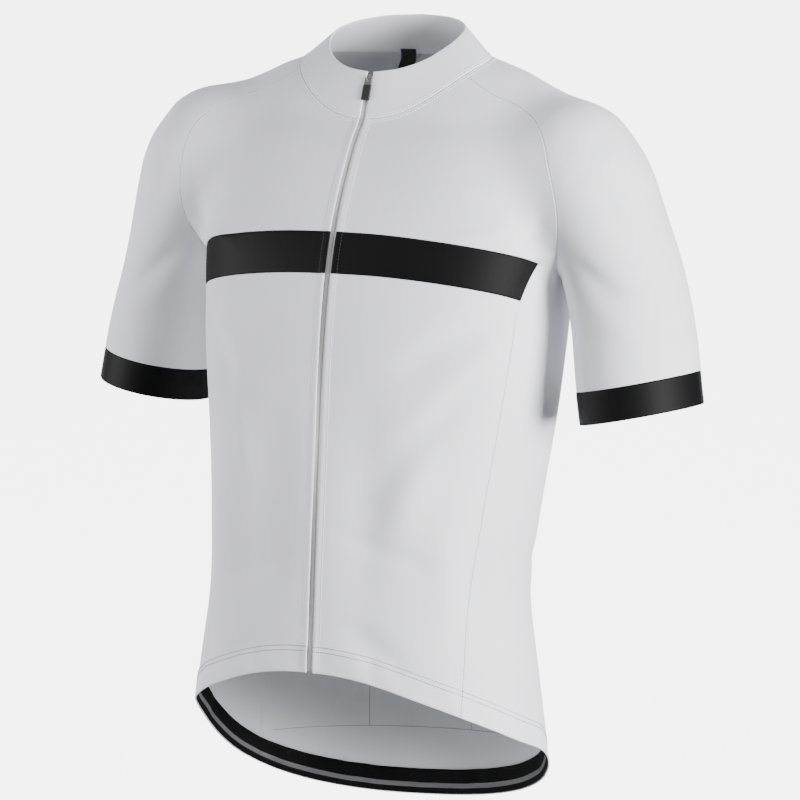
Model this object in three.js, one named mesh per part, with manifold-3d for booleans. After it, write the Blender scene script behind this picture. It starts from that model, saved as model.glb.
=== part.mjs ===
// Short-sleeved cycling jersey with raglan sleeves, a full front zip and a dropped back hem, filled
// out as if worn. Millimetres, +Z up, the front faces -Y and its left sleeve is at +X. The origin is the
// middle of the neck opening, at the level where it is held up by the shoulders.
import * as THREE from "three";
import { mergeVertices } from "three/addons/utils/BufferGeometryUtils.js";
import Module from "manifold-3d";

const wasm = await Module();
wasm.setup();
const { Manifold } = wasm;

// Cloth thicknesses and seam gaps
const CLOTH = 1.4;
const DOUBLE_CLOTH = 2.0;
const SEAM_GAP = 0.3;

// The filled-out body of the garment, as sections at heights z. The back and front columns are
// the y of the cloth on the middle line; squareness 2 is an ellipse and more is boxier.
const TORSO_SECTIONS = [
  { z: -760, halfWidth: 192, front: -201, back: 54, squareness: 2.2 },
  { z: -640, halfWidth: 182, front: -194, back: 50, squareness: 2.2 },
  { z: -560, halfWidth: 171, front: -188, back: 48, squareness: 2.2 },
  { z: -490, halfWidth: 161, front: -182, back: 52, squareness: 2.2 },
  { z: -400, halfWidth: 165, front: -175, back: 72, squareness: 2.25 },
  { z: -325, halfWidth: 172, front: -169, back: 90, squareness: 2.35 },
  { z: -250, halfWidth: 177, front: -161, back: 99, squareness: 2.5 },
  { z: -200, halfWidth: 179, front: -153, back: 103, squareness: 2.6 },
  { z: -160, halfWidth: 182, front: -144, back: 104, squareness: 2.6 },
  { z: -120, halfWidth: 190, front: -130, back: 103, squareness: 2.5 },
  { z: -85, halfWidth: 195, front: -113, back: 100, squareness: 2.4 },
  { z: -55, halfWidth: 194, front: -95, back: 95, squareness: 2.3 },
  { z: -35, halfWidth: 190, front: -79, back: 90, squareness: 2.2 },
  { z: -15, halfWidth: 174, front: -68, back: 84, squareness: 2.1 },
  { z: 0, halfWidth: 153, front: -60, back: 77, squareness: 2.0 },
  { z: 12, halfWidth: 130, front: -52, back: 70, squareness: 2.0 },
  { z: 22, halfWidth: 103, front: -43, back: 62, squareness: 2.0 },
  { z: 33, halfWidth: 68, front: -28, back: 52, squareness: 2.0 },
  { z: 44, halfWidth: 34, front: -10, back: 38, squareness: 2.0 },
];

// The sleeve's filled-out tube as level sections. Above the top row it closes as a round cap.
const SLEEVE_SECTIONS = [
  { z: -360, x: 273, y: -22, radiusX: 59, radiusY: 63 },
  { z: -290, x: 262, y: -19, radiusX: 59, radiusY: 63 },
  { z: -215, x: 250.5, y: -11, radiusX: 58, radiusY: 62 },
  { z: -190, x: 244, y: -9, radiusX: 58, radiusY: 62 },
  { z: -165, x: 236, y: -9, radiusX: 59, radiusY: 63 },
  { z: -120, x: 218, y: -13, radiusX: 63, radiusY: 66 },
  { z: -80, x: 202, y: -15, radiusX: 66, radiusY: 68 },
  { z: -50, x: 190, y: -15, radiusX: 66, radiusY: 68 },
];

// How softly the body runs into the sleeve: tight at the armpit, wide over the shoulder.
const BLEND_SECTIONS = [
  { z: -205, softness: 8 },
  { z: -190, softness: 9 },
  { z: -165, softness: 20 },
  { z: -140, softness: 28 },
  { z: -110, softness: 34 },
  { z: -60, softness: 40 },
  { z: 0, softness: 40 },
];

// Neckline in plan, and the collar's free edge above it, by angle round from the centre front
const NECK = { halfWidth: 98, halfDepth: 69.5, y: -9.5 };
const COLLAR_TOP = { halfWidth: 68, halfDepth: 56, y: -6 };
const COLLAR_EDGE = [
  { angle: 0, z: 9 },
  { angle: 25, z: 13.5 },
  { angle: 45, z: 21.5 },
  { angle: 65, z: 33 },
  { angle: 90, z: 46 },
  { angle: 120, z: 56 },
  { angle: 150, z: 62 },
  { angle: 180, z: 64 },
];

// Lower edge of the hem, by how far forward or back the cloth stands
const HEM_EDGE = [
  { y: -188, z: -550 },
  { y: -176, z: -565 },
  { y: -150, z: -587 },
  { y: -118, z: -606 },
  { y: -85, z: -624 },
  { y: -45, z: -650 },
  { y: -11, z: -677 },
  { y: 20, z: -700 },
  { y: 52, z: -721 },
];

// Raglan seams, from the neckline to the underarm point, front and back. They are pulled onto the cloth.
const RAGLAN_FRONT_ANGLE = 65;
const RAGLAN_BACK_ANGLE = 112;
const RAGLAN_FRONT = [
  { x: 118, y: -43, z: -8 },
  { x: 140, y: -43, z: -16 },
  { x: 162, y: -50, z: -27 },
  { x: 179, y: -63, z: -39 },
  { x: 190, y: -75, z: -54 },
  { x: 197, y: -82, z: -78 },
  { x: 202, y: -80, z: -107 },
  { x: 201, y: -74, z: -132 },
  { x: 195, y: -61, z: -154 },
  { x: 188, y: -42, z: -170 },
];
const UNDERARM = { x: 182, y: -12, z: -184 };
const RAGLAN_BACK = [
  { x: 118, y: 50, z: 6 },
  { x: 145, y: 64, z: -12 },
  { x: 172, y: 72, z: -36 },
  { x: 190, y: 70, z: -70 },
  { x: 199, y: 60, z: -106 },
  { x: 198, y: 46, z: -136 },
  { x: 192, y: 28, z: -159 },
  { x: 186, y: 6, z: -175 },
];
// Heights at which the side panel's seams meet the raglans
const SIDE_TOP = { front: -157, back: -160 };

// Side panel seams, in degrees round from the side line, forwards and backwards
const SIDE_SEAMS = [
  { z: -760, front: 48, back: 33 },
  { z: -640, front: 42, back: 31.5 },
  { z: -586, front: 39, back: 30 },
  { z: -520, front: 34.5, back: 28 },
  { z: -467, front: 31.5, back: 26.5 },
  { z: -414, front: 29.5, back: 25 },
  { z: -350, front: 28, back: 23.5 },
  { z: -264, front: 24.8, back: 21 },
  { z: -201, front: 21.5, back: 18 },
  { z: -165, front: 15.5, back: 14 },
  { z: -150, front: 13, back: 12 },
];

// Shoulder ridge of the sleeve from the neck to the outer arm, and the line inside it that its rows fan from
const SHOULDER_RIDGE = [
  { share: 0, x: 98, y: -9, z: 20 },
  { share: 0.2, x: 142, y: -9, z: 8 },
  { share: 0.4, x: 196, y: -12, z: -12 },
  { share: 0.55, x: 246, y: -15, z: -45 },
  { share: 0.7, x: 279, y: -13, z: -104 },
  { share: 0.85, x: 291, y: -10, z: -143 },
  { share: 1, x: 295, y: -9, z: -160 },
];
const SLEEVE_CORE = [
  { share: 0, x: 88, y: -9, z: -42 },
  { share: 0.4, x: 144, y: -9, z: -66 },
  { share: 0.55, x: 180, y: -11, z: -88 },
  { share: 0.7, x: 215, y: -12, z: -122 },
  { share: 0.85, x: 233, y: -10, z: -153 },
  { share: 1, x: 240, y: -9, z: -171.5 },
];
const CUFF_SEAM = { x: 259.5, y: -18.5, z: -279 };
const CUFF_TILT = 11.5;
const CUFF_WIDTH = 31;

// The black band across the chest: heights of its lower and upper edge at the zip and at the side seam
const BAND = { lowerFront: -178, upperFront: -139, lowerSide: -202, upperSide: -167 };

// The right shoulder rides a little higher than the left, and the dropped tail hangs a little lower on the
// right side. Each is a lean in mm of height per mm from the middle line, and fades in over a height.
const SHOULDER_LEAN = { slope: -0.027, none: -210, full: -70 };
const TAIL_LEAN = { slope: 0.065, none: -440, full: -640, frontY: -110, backY: -30 };

// Half the width of the opening in which the zip shows, and how far up the collar its tapes reach
const ZIP_OPENING = 3.1;
const COLLAR_ZIP_SHARE = 0.97;
const ZIP_END_GAP = 1.5;

// Zip tapes, smooth side out, sewn behind the front edges. The coil is the closed chain behind them.
const TAPE = {
  width: 13,
  thickness: 0.8,
  middleGap: 0.2,
  partedGap: 1.7,
  partedFrom: 0.8,
  columns: 2,
  behind: CLOTH + 0.5,
  collarBehind: DOUBLE_CLOTH + 0.5,
};
const COIL = { halfWidth: 1.7, thickness: 1.2, gap: 0.2 };

// Slider, on the collar. Its sizes run up the zip from the collar's edge and out of the cloth.
const SLIDER = {
  length: 10,
  topUp: -1.5,
  frontWidth: 5.4,
  frontInner: -2.1,
  frontOuter: -0.7,
  backWidth: 7.4,
  backPlate: 1,
  behindCoil: 0.35,
  post: 1.6,
  postLength: 1.8,
  wall: 1.1,
  clearance: 0.3,
};
const BAIL = { width: 1.4, bar: 0.8, opening: 2.6, height: 3.1, bottomUp: -8.4, sunk: 0.2 };
const PULL = { width: 7.2, barRadius: 0.55, barPlay: 0.35, stand: 1.55, plate: 0.7, window: 3.9, arm: 1.3 };
const GRIP = { width: 8.4, length: 15, thickness: 2, fromBar: 7.2, play: 0.1, corner: 0.8 };
const TONGUE = { width: 4.2, length: 4.3, root: 1 };

// Neck label, inside the back. Its line runs down from just below the collar seam.
const LABEL = { width: 14, thickness: 0.7, gap: 1.1, rows: 5 };
const LABEL_LINE = [
  { share: 0, x: -20, z: 23 },
  { share: 0.5, x: -30, z: 8 },
  { share: 1, x: -39, z: -13 },
];

// Elastic tape inside the hem, by its distances up the cloth from the edge
const GRIPPER = { lower: 1.5, upper: 27, thickness: 1, gap: 0.35 };

// Back pockets. The divider is in cells of the back panel from the middle.
const POCKET = {
  foot: -651,
  mouth: -481,
  divider: 4,
  depth: 14,
  gap: 0.5,
  rows: 8,
  endColumns: 1,
  fullness: 0.7,
  opening: 0.6,
};

// A smooth curve through the rows of a table, worked out from one named column against another.
function columnCurve(rows, key, column) {
  const t = rows.map((row) => row[key]);
  const v = rows.map((row) => row[column]);
  const last = t.length - 1;
  const slope = (i) => (v[i + 1] - v[i]) / (t[i + 1] - t[i]);
  const tangent = v.map((_, i) => {
    if (i === 0) return slope(0);
    if (i === last) return slope(last - 1);
    const before = t[i] - t[i - 1];
    const after = t[i + 1] - t[i];
    return (slope(i - 1) * after + slope(i) * before) / (before + after);
  });
  return (x) => {
    if (x <= t[0]) return v[0] + tangent[0] * (x - t[0]);
    if (x >= t[last]) return v[last] + tangent[last] * (x - t[last]);
    let i = 0;
    while (x > t[i + 1]) i += 1;
    const h = t[i + 1] - t[i];
    const s = (x - t[i]) / h;
    const rest = 1 - s;
    return (
      rest * rest * (1 + 2 * s) * v[i] +
      s * s * (3 - 2 * s) * v[i + 1] +
      h * s * rest * (rest * tangent[i] - s * tangent[i + 1])
    );
  };
}

const torsoWidth = columnCurve(TORSO_SECTIONS, "z", "halfWidth");
const torsoFront = columnCurve(TORSO_SECTIONS, "z", "front");
const torsoBack = columnCurve(TORSO_SECTIONS, "z", "back");
const torsoSquareness = columnCurve(TORSO_SECTIONS, "z", "squareness");
const sleeveX = columnCurve(SLEEVE_SECTIONS, "z", "x");
const sleeveY = columnCurve(SLEEVE_SECTIONS, "z", "y");
const sleeveRadiusX = columnCurve(SLEEVE_SECTIONS, "z", "radiusX");
const sleeveRadiusY = columnCurve(SLEEVE_SECTIONS, "z", "radiusY");
const blendSoftness = columnCurve(BLEND_SECTIONS, "z", "softness");
const hemHeight = columnCurve(HEM_EDGE, "y", "z");
const collarEdgeZ = columnCurve(COLLAR_EDGE, "angle", "z");
const sideFrontAngle = columnCurve(SIDE_SEAMS, "z", "front");
const sideBackAngle = columnCurve(SIDE_SEAMS, "z", "back");
const SLEEVE_TOP_Z = SLEEVE_SECTIONS[SLEEVE_SECTIONS.length - 1].z;
const SLEEVE_CAP_Z = -77;
const TORSO_TOP_Z = TORSO_SECTIONS[TORSO_SECTIONS.length - 1].z;

const radians = THREE.MathUtils.degToRad;

function lerp(a, b, t) {
  return a + (b - a) * t;
}

function clamp(value, low, high) {
  return Math.min(Math.max(value, low), high);
}

// Distance outside the body of the garment, from its superellipse section at the point's height
function torsoDistance(p) {
  const z = Math.min(p.z, TORSO_TOP_Z);
  const front = torsoFront(z);
  const back = torsoBack(z);
  const n = torsoSquareness(z);
  const y = p.y - (front + back) / 2;
  const across = Math.abs(p.x) / torsoWidth(z);
  const along = Math.abs(y) / ((back - front) / 2);
  const share = Math.max(Math.pow(across ** n + along ** n, 1 / n), 0.05);
  return Math.hypot(p.x, y) * (1 - 1 / share);
}

// Distance outside the sleeve's tube and its round cap at the shoulder
function sleeveDistance(p) {
  const z = Math.min(p.z, SLEEVE_TOP_Z);
  const rx = sleeveRadiusX(z);
  const x = Math.abs(p.x) - sleeveX(z);
  const y = ((p.y - sleeveY(z)) * rx) / sleeveRadiusY(z);
  return Math.hypot(x, y, Math.max(p.z - SLEEVE_CAP_Z, 0)) - rx;
}

// The garment's outer face is where this is zero: body and sleeve run together softly.
function figure(p) {
  const a = torsoDistance(p);
  const b = sleeveDistance(p);
  const k = blendSoftness(clamp(p.z, -200, 0));
  const h = Math.max(k - Math.abs(a - b), 0) / k;
  return Math.min(a, b) - (h * h * k) / 4;
}

const STEP = 0.25;
function gradient(p, field = figure) {
  const axes = ["x", "y", "z"];
  const g = new THREE.Vector3();
  for (const axis of axes) {
    const high = p.clone();
    const low = p.clone();
    high[axis] += STEP;
    low[axis] -= STEP;
    g[axis] = (field(high) - field(low)) / (2 * STEP);
  }
  return g;
}

// Pulls a point onto the garment's outer face, straight along the face's slope.
function ontoCloth(p, field = figure) {
  const q = p.clone();
  for (let i = 0; i < 12; i += 1) {
    const g = gradient(q, field);
    q.addScaledVector(g, -field(q) / Math.max(g.lengthSq(), 0.05));
  }
  return q;
}

// The first place along a ray, from inside the garment, where it leaves the outer face
function leavesCloth(from, direction, reach, field = figure) {
  const at = (t) => from.clone().addScaledVector(direction, t);
  let low = 0;
  let high = reach;
  for (let t = 4; t < reach; t += 4) {
    if (field(at(t)) > 0) {
      high = t;
      break;
    }
    low = t;
  }
  for (let i = 0; i < 30; i += 1) {
    const middle = (low + high) / 2;
    if (field(at(middle)) > 0) high = middle;
    else low = middle;
  }
  return at((low + high) / 2);
}

function vector(row) {
  return new THREE.Vector3(row.x, row.y, row.z);
}

// Evenly spaced points along a path of points, ends kept
function spaced(points, count) {
  const lengths = [0];
  for (let i = 1; i < points.length; i += 1) {
    lengths.push(lengths[i - 1] + points[i].distanceTo(points[i - 1]));
  }
  const total = lengths[lengths.length - 1];
  const out = [];
  let i = 0;
  for (let n = 0; n < count; n += 1) {
    const want = (total * n) / (count - 1);
    while (i < points.length - 2 && lengths[i + 1] < want) i += 1;
    const t = clamp((want - lengths[i]) / (lengths[i + 1] - lengths[i]), 0, 1);
    out.push(points[i].clone().lerp(points[i + 1], t));
  }
  return out;
}

// The stretch of a path between two shares of its length
function stretch(points, from, to, count = 200) {
  const fine = spaced(points, 801);
  const a = Math.round(Math.min(from, to) * 800);
  const b = Math.round(Math.max(from, to) * 800);
  const part = fine.slice(a, b + 1);
  if (from > to) part.reverse();
  return spaced(part, count);
}

// The share of a path at which it first climbs past a height, or with falling set first drops below it
function shareAtHeight(path, z, falling = false) {
  const even = spaced(path, 801);
  return even.findIndex((p) => (falling ? p.z <= z : p.z >= z)) / 800;
}

const FINE = 200;
function traced(pointAt) {
  return Array.from({ length: FINE }, (_, i) => pointAt(i / (FINE - 1)));
}

// Neckline: an ellipse in plan that lies on the cloth. The angle runs round from the centre front.
function neckPoint(angle) {
  const x = NECK.halfWidth * Math.sin(radians(angle));
  const y = NECK.y - NECK.halfDepth * Math.cos(radians(angle));
  let low = -70;
  let high = 60;
  for (let i = 0; i < 40; i += 1) {
    const z = (low + high) / 2;
    if (figure(new THREE.Vector3(x, y, z)) > 0) high = z;
    else low = z;
  }
  return new THREE.Vector3(x, y, (low + high) / 2);
}

function collarTopPoint(angle) {
  return new THREE.Vector3(
    COLLAR_TOP.halfWidth * Math.sin(radians(angle)),
    COLLAR_TOP.y - COLLAR_TOP.halfDepth * Math.cos(radians(angle)),
    collarEdgeZ(Math.abs(angle)),
  );
}

// A point of the body at a height, at an angle forwards (+) or backwards (-) of the side line
function torsoPoint(angle, z) {
  const front = torsoFront(z);
  const back = torsoBack(z);
  const power = 2 / torsoSquareness(z);
  const c = Math.cos(radians(angle));
  const s = Math.sin(radians(angle));
  const y = (front + back) / 2 - ((back - front) / 2) * Math.sign(s) * Math.abs(s) ** power;
  return new THREE.Vector3(torsoWidth(z) * Math.sign(c) * Math.abs(c) ** power, y, z);
}

// The point of the hem edge below a line down the body whose angle may change with height
function hemPoint(angleAt) {
  let z = -640;
  let p = null;
  for (let i = 0; i < 30; i += 1) {
    p = torsoPoint(angleAt(z), z);
    z = hemHeight(p.y);
  }
  return torsoPoint(angleAt(z), z);
}

// The angle at which the body's section is a given distance from the middle line
function angleAcross(x, z) {
  return 90 - (Math.asin(clamp((x / torsoWidth(z)) ** (torsoSquareness(z) / 2), 0, 1)) * 180) / Math.PI;
}

// Front edge beside the zip
const zipAngle = (z) => angleAcross(ZIP_OPENING, z);
const neckZipAngle = (Math.asin(ZIP_OPENING / NECK.halfWidth) * 180) / Math.PI;
const hemAtZip = hemPoint(zipAngle);
const neckAtZip = neckPoint(neckZipAngle);
const frontEdge = traced((t) => {
  const z = lerp(hemAtZip.z, neckAtZip.z, t);
  return ontoCloth(torsoPoint(zipAngle(z), z));
});
frontEdge[FINE - 1].copy(neckAtZip);

// Raglan seams as smooth curves on the cloth, from the neck to the underarm
function raglan(rows, neckAngle) {
  const points = [neckPoint(neckAngle), ...[...rows, UNDERARM].map((row) => ontoCloth(vector(row)))];
  const curve = new THREE.CatmullRomCurve3(points, false, "centripetal");
  const path = traced((t) => (t === 0 ? points[0] : ontoCloth(curve.getPoint(t))));
  return spaced(path, FINE);
}
const raglanFront = raglan(RAGLAN_FRONT, RAGLAN_FRONT_ANGLE);
const raglanBack = raglan(RAGLAN_BACK, RAGLAN_BACK_ANGLE);

const SIDE_FRONT_SHARE = shareAtHeight(raglanFront, SIDE_TOP.front, true);
const SIDE_BACK_SHARE = shareAtHeight(raglanBack, SIDE_TOP.back, true);

// Side panel seams, from the hem up to the raglan, which they meet in a short bend
const SEAM_BEND = 40;
function sideSeam(raglanPath, share, angleAt, sign) {
  const top = stretch(raglanPath, 0, share)[FINE - 1];
  const bottom = hemPoint((z) => sign * angleAt(z));
  const startZ = top.z;
  const offset = (z) => {
    const plain = torsoPoint(sign * angleAt(startZ), startZ);
    const near = clamp((z - (startZ - SEAM_BEND)) / SEAM_BEND, 0, 1) ** 2;
    return top.clone().sub(plain).multiplyScalar(near);
  };
  const path = traced((t) => {
    const z = lerp(bottom.z, startZ, t);
    return ontoCloth(torsoPoint(sign * angleAt(z), z).add(offset(z)));
  });
  path[0].copy(bottom);
  path[FINE - 1].copy(top);
  return spaced(path, FINE);
}
const sideFront = sideSeam(raglanFront, SIDE_FRONT_SHARE, sideFrontAngle, 1);
const sideBack = sideSeam(raglanBack, SIDE_BACK_SHARE, sideBackAngle, -1);

// A line across the front panel, level by the zip and dropping towards the side seam
const BAND_DROP = 2.7;
const TORSO_REACH = 320;
function frontLine(zipZ, sideShare) {
  const start = stretch(frontEdge, 0, shareAtHeight(frontEdge, zipZ))[FINE - 1];
  const end = stretch(sideFront, 0, sideShare)[FINE - 1];
  const middle = (z) => (torsoFront(z) + torsoBack(z)) / 2;
  const bearing = (p) => Math.atan2(middle(p.z) - p.y, p.x);
  const path = traced((t) => {
    const z = lerp(start.z, end.z, t ** BAND_DROP);
    const turn = lerp(bearing(start), bearing(end), t);
    const ray = new THREE.Vector3(Math.cos(turn), -Math.sin(turn), 0);
    return leavesCloth(new THREE.Vector3(0, middle(z), z), ray, TORSO_REACH);
  });
  path[0].copy(start);
  path[FINE - 1].copy(end);
  return path;
}
const bandLowerShare = shareAtHeight(sideFront, BAND.lowerSide);
const bandUpperShare = shareAtHeight(sideFront, BAND.upperSide);
const bandLower = frontLine(BAND.lowerFront, bandLowerShare);
const bandUpper = frontLine(BAND.upperFront, bandUpperShare);

// Hem edge between two lines down the body
function hemPath(fromAngle, toAngle) {
  return traced((t) => hemPoint((z) => lerp(fromAngle(z), toAngle(z), t)));
}

// Evens out the inside points of a grid on the cloth and leaves its edges where they are.
const EVENING_ROUNDS = 20;
const KEPT_SHARE = 0.4;
function evened(grid, field = figure, fromRow = 1) {
  for (let round = 0; round < EVENING_ROUNDS; round += 1) {
    const before = grid.map((row) => row.map((p) => p.clone()));
    for (let j = fromRow; j < grid.length - 1; j += 1) {
      for (let i = 1; i < grid[j].length - 1; i += 1) {
        const mean = new THREE.Vector3();
        for (const near of [before[j][i - 1], before[j][i + 1], before[j - 1][i], before[j + 1][i]]) {
          mean.addScaledVector(near, 1 / 4);
        }
        grid[j][i] = ontoCloth(mean.lerp(before[j][i], KEPT_SHARE), field);
      }
    }
  }
  return grid;
}

// A grid of points over a panel, from the points of its four edges: the edges are blended and the inside
// points are pulled onto the cloth. Rows run from the bottom edge to the top, and columns from left to right.
function panelGrid(bottom, top, left, right) {
  const columns = bottom.length - 1;
  const rows = left.length - 1;
  const grid = [];
  for (let j = 0; j <= rows; j += 1) {
    const v = j / rows;
    grid.push(
      bottom.map((_, i) => {
        const u = i / columns;
        if (j === 0) return bottom[i].clone();
        if (j === rows) return top[i].clone();
        if (i === 0) return left[j].clone();
        if (i === columns) return right[j].clone();
        const p = new THREE.Vector3();
        p.addScaledVector(bottom[i], 1 - v).addScaledVector(top[i], v);
        p.addScaledVector(left[j], 1 - u).addScaledVector(right[j], u);
        p.addScaledVector(bottom[0], -(1 - u) * (1 - v)).addScaledVector(bottom[columns], -u * (1 - v));
        p.addScaledVector(top[0], -(1 - u) * v).addScaledVector(top[columns], -u * v);
        return ontoCloth(p);
      }),
    );
  }
  return evened(grid);
}

function outward(grid, field = figure) {
  return grid.map((row) => row.map((p) => gradient(p, field).normalize()));
}

// Draws a panel's edges in, square to each edge, so that it stands half the seam gap inside its outline.
function drawnIn(grid) {
  const rows = grid.length - 1;
  const columns = grid[0].length - 1;
  const drawn = grid.map((row) => row.map((p) => p.clone()));
  const pull = (point, inner, before, after) => {
    const along = after.clone().sub(before).normalize();
    const way = inner.clone().sub(point);
    way.addScaledVector(along, -way.dot(along)).normalize();
    return way.multiplyScalar(SEAM_GAP / 2);
  };
  for (let j = 0; j <= rows; j += 1) {
    const before = grid[Math.max(j - 1, 0)];
    const after = grid[Math.min(j + 1, rows)];
    drawn[j][0].add(pull(grid[j][0], grid[j][1], before[0], after[0]));
    drawn[j][columns].add(pull(grid[j][columns], grid[j][columns - 1], before[columns], after[columns]));
  }
  for (let i = 0; i <= columns; i += 1) {
    const before = Math.max(i - 1, 0);
    const after = Math.min(i + 1, columns);
    drawn[0][i].add(pull(grid[0][i], grid[1][i], grid[0][before], grid[0][after]));
    drawn[rows][i].add(pull(grid[rows][i], grid[rows - 1][i], grid[rows][before], grid[rows][after]));
  }
  return drawn;
}

// A closed wall between two grids of the same size, the first of them facing out. Each four-sided cell is
// parted along its shorter diagonal, so walls that meet along a seam part alike. flip turns the faces round.
function wallBetween(outer, inner, flip = false) {
  const rows = outer.length - 1;
  const columns = outer[0].length - 1;
  const width = columns + 1;
  const points = [...outer.flat(), ...inner.flat()];
  const behind = (rows + 1) * width;
  const at = (j, i) => j * width + i;
  const index = [];
  const face = (...corners) => {
    const [a, b, c, d] = corners;
    const shorter = points[b].distanceTo(points[d]) < points[a].distanceTo(points[c]);
    const [p, q, r, s] = shorter ? [b, c, d, a] : [a, b, c, d];
    if (flip) index.push(p, r, q, p, s, r);
    else index.push(p, q, r, p, r, s);
  };
  const parted = (j, i) => {
    const corners = [at(j, i), at(j, i + 1), at(j + 1, i + 1), at(j + 1, i)];
    const rising = points[corners[0]].distanceTo(points[corners[2]]);
    const falling = points[corners[1]].distanceTo(points[corners[3]]);
    if (falling < rising) corners.push(corners.shift());
    return corners;
  };
  for (let j = 0; j < rows; j += 1) {
    for (let i = 0; i < columns; i += 1) {
      const [a, b, c, d] = parted(j, i);
      const [p, q, r, s] = [a, b, c, d].map((corner) => behind + corner);
      if (flip) index.push(a, c, b, a, d, c, p, q, r, p, r, s);
      else index.push(a, b, c, a, c, d, p, r, q, p, s, r);
    }
  }
  for (let i = 0; i < columns; i += 1) {
    face(at(0, i + 1), at(0, i), behind + at(0, i), behind + at(0, i + 1));
    face(at(rows, i), at(rows, i + 1), behind + at(rows, i + 1), behind + at(rows, i));
  }
  for (let j = 0; j < rows; j += 1) {
    face(at(j, 0), at(j + 1, 0), behind + at(j + 1, 0), behind + at(j, 0));
    face(at(j + 1, columns), at(j, columns), behind + at(j, columns), behind + at(j + 1, columns));
  }
  const geometry = new THREE.BufferGeometry();
  const positions = new Float32Array(points.flatMap((p) => [p.x, p.y, p.z]));
  geometry.setAttribute("position", new THREE.BufferAttribute(positions, 3));
  geometry.setIndex(index);
  return geometry;
}

// Moves every point of a grid along its own direction, by one distance or by a distance for each row.
function moved(grid, directions, distance) {
  const distanceAt = typeof distance === "function" ? distance : () => distance;
  return grid.map((row, j) => row.map((p, i) => p.clone().addScaledVector(directions[j][i], distanceAt(j))));
}

function mirrored(grid) {
  return grid.map((row) => row.map((p) => new THREE.Vector3(-p.x, p.y, p.z)));
}

// Moves the points of a mesh to where the garment's lean puts them.
function settled(geometry) {
  const position = geometry.getAttribute("position");
  const fade = THREE.MathUtils.smoothstep;
  for (let i = 0; i < position.count; i += 1) {
    const [x, y, z] = [position.getX(i), position.getY(i), position.getZ(i)];
    const shoulder = SHOULDER_LEAN.slope * fade(z, SHOULDER_LEAN.none, SHOULDER_LEAN.full);
    const low = 1 - fade(z, TAIL_LEAN.full, TAIL_LEAN.none);
    const tail = TAIL_LEAN.slope * low * fade(y, TAIL_LEAN.frontY, TAIL_LEAN.backY);
    position.setZ(i, z + x * (shoulder + tail));
  }
  return geometry;
}

// Materials
function cloth(color, roughness) {
  return new THREE.MeshStandardMaterial({ color, roughness, metalness: 0, side: THREE.DoubleSide });
}
const whiteCloth = cloth(0xe9e9ee, 0.72);
const collarCloth = cloth(0xf0f0f5, 0.72);
const blackCloth = cloth(0x121212, 0.6);
const blackElastic = cloth(0x0a0a0a, 0.8);
const zipTape = cloth(0xc9c8c3, 0.75);
const metal = new THREE.MeshStandardMaterial({ color: 0xd9d7cf, roughness: 0.25, metalness: 1 });
const rubber = new THREE.MeshStandardMaterial({ color: 0x1c1c1a, roughness: 0.55, metalness: 0 });

const jersey = new THREE.Group();
jersey.name = "cycling_jersey";

function addMesh(name, geometry, material, group = jersey) {
  geometry.computeVertexNormals();
  const mesh = new THREE.Mesh(geometry, material);
  mesh.name = name;
  group.add(mesh);
}

function addCloth(name, geometry, material) {
  addMesh(name, settled(geometry), material);
}

// Makes a panel and its mirror twin from the grid of the left one.
function addPair(name, grid, normals, thickness, material) {
  const back = moved(grid, normals, -thickness);
  addCloth(`${name}_left`, wallBetween(grid, back), material);
  addCloth(`${name}_right`, wallBetween(mirrored(grid), mirrored(back), true), material);
}

// Collar and body share one direction along the neckline, so their walls meet edge to edge.
function collarNormal(angle) {
  const base = neckPoint(angle);
  const across = neckPoint(angle + 1).sub(neckPoint(angle - 1));
  const up = collarTopPoint(angle).sub(base);
  return across.cross(up).normalize();
}
function neckNormal(p) {
  const angle = (Math.atan2(p.x / NECK.halfWidth, -(p.y - NECK.y) / NECK.halfDepth) * 180) / Math.PI;
  return gradient(p).normalize().add(collarNormal(angle)).normalize();
}
function shareNeckNormal(grid, normals) {
  const last = grid.length - 1;
  normals[last] = grid[last].map((p) => neckNormal(p));
  return normals;
}

// Cells along each seam. Panels that meet there share its points.
const CELLS = {
  front: 12,
  lower: 16,
  band: 2,
  underBandEnd: 1,
  raglan: 13,
  underarm: 4,
  back: 12,
  sleeve: 24,
};

// The points that part a path between two shares of its length into cells
function cells(path, from, to, count) {
  return spaced(stretch(path, from, to), count + 1);
}

function joined(...parts) {
  return parts.flatMap((part, i) => (i ? part.slice(1) : part));
}

const sideLower = cells(sideFront, 0, bandLowerShare, CELLS.lower);
const sideBand = cells(sideFront, bandLowerShare, bandUpperShare, CELLS.band);
const sideTop = cells(sideFront, bandUpperShare, 1, CELLS.underBandEnd);
const raglanFrontLong = cells(raglanFront, 0, SIDE_FRONT_SHARE, CELLS.raglan);
const raglanFrontShort = cells(raglanFront, SIDE_FRONT_SHARE, 1, CELLS.underarm);
const raglanBackLong = cells(raglanBack, 0, SIDE_BACK_SHARE, CELLS.raglan);
const raglanBackShort = cells(raglanBack, SIDE_BACK_SHARE, 1, CELLS.underarm);
const sideBackCells = cells(sideBack, 0, 1, CELLS.lower + CELLS.band + CELLS.underBandEnd);
const neckStretch = (from, to, count) => spaced(traced((t) => neckPoint(lerp(from, to, t))), count + 1);
const neckFront = neckStretch(neckZipAngle, RAGLAN_FRONT_ANGLE, CELLS.front);
const neckSide = neckStretch(RAGLAN_FRONT_ANGLE, RAGLAN_BACK_ANGLE, CELLS.sleeve);
const neckBack = neckStretch(RAGLAN_BACK_ANGLE, 180, CELLS.back);
const bandLowerCells = cells(bandLower, 0, 1, CELLS.front);
const bandUpperCells = cells(bandUpper, 0, 1, CELLS.front);

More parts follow.
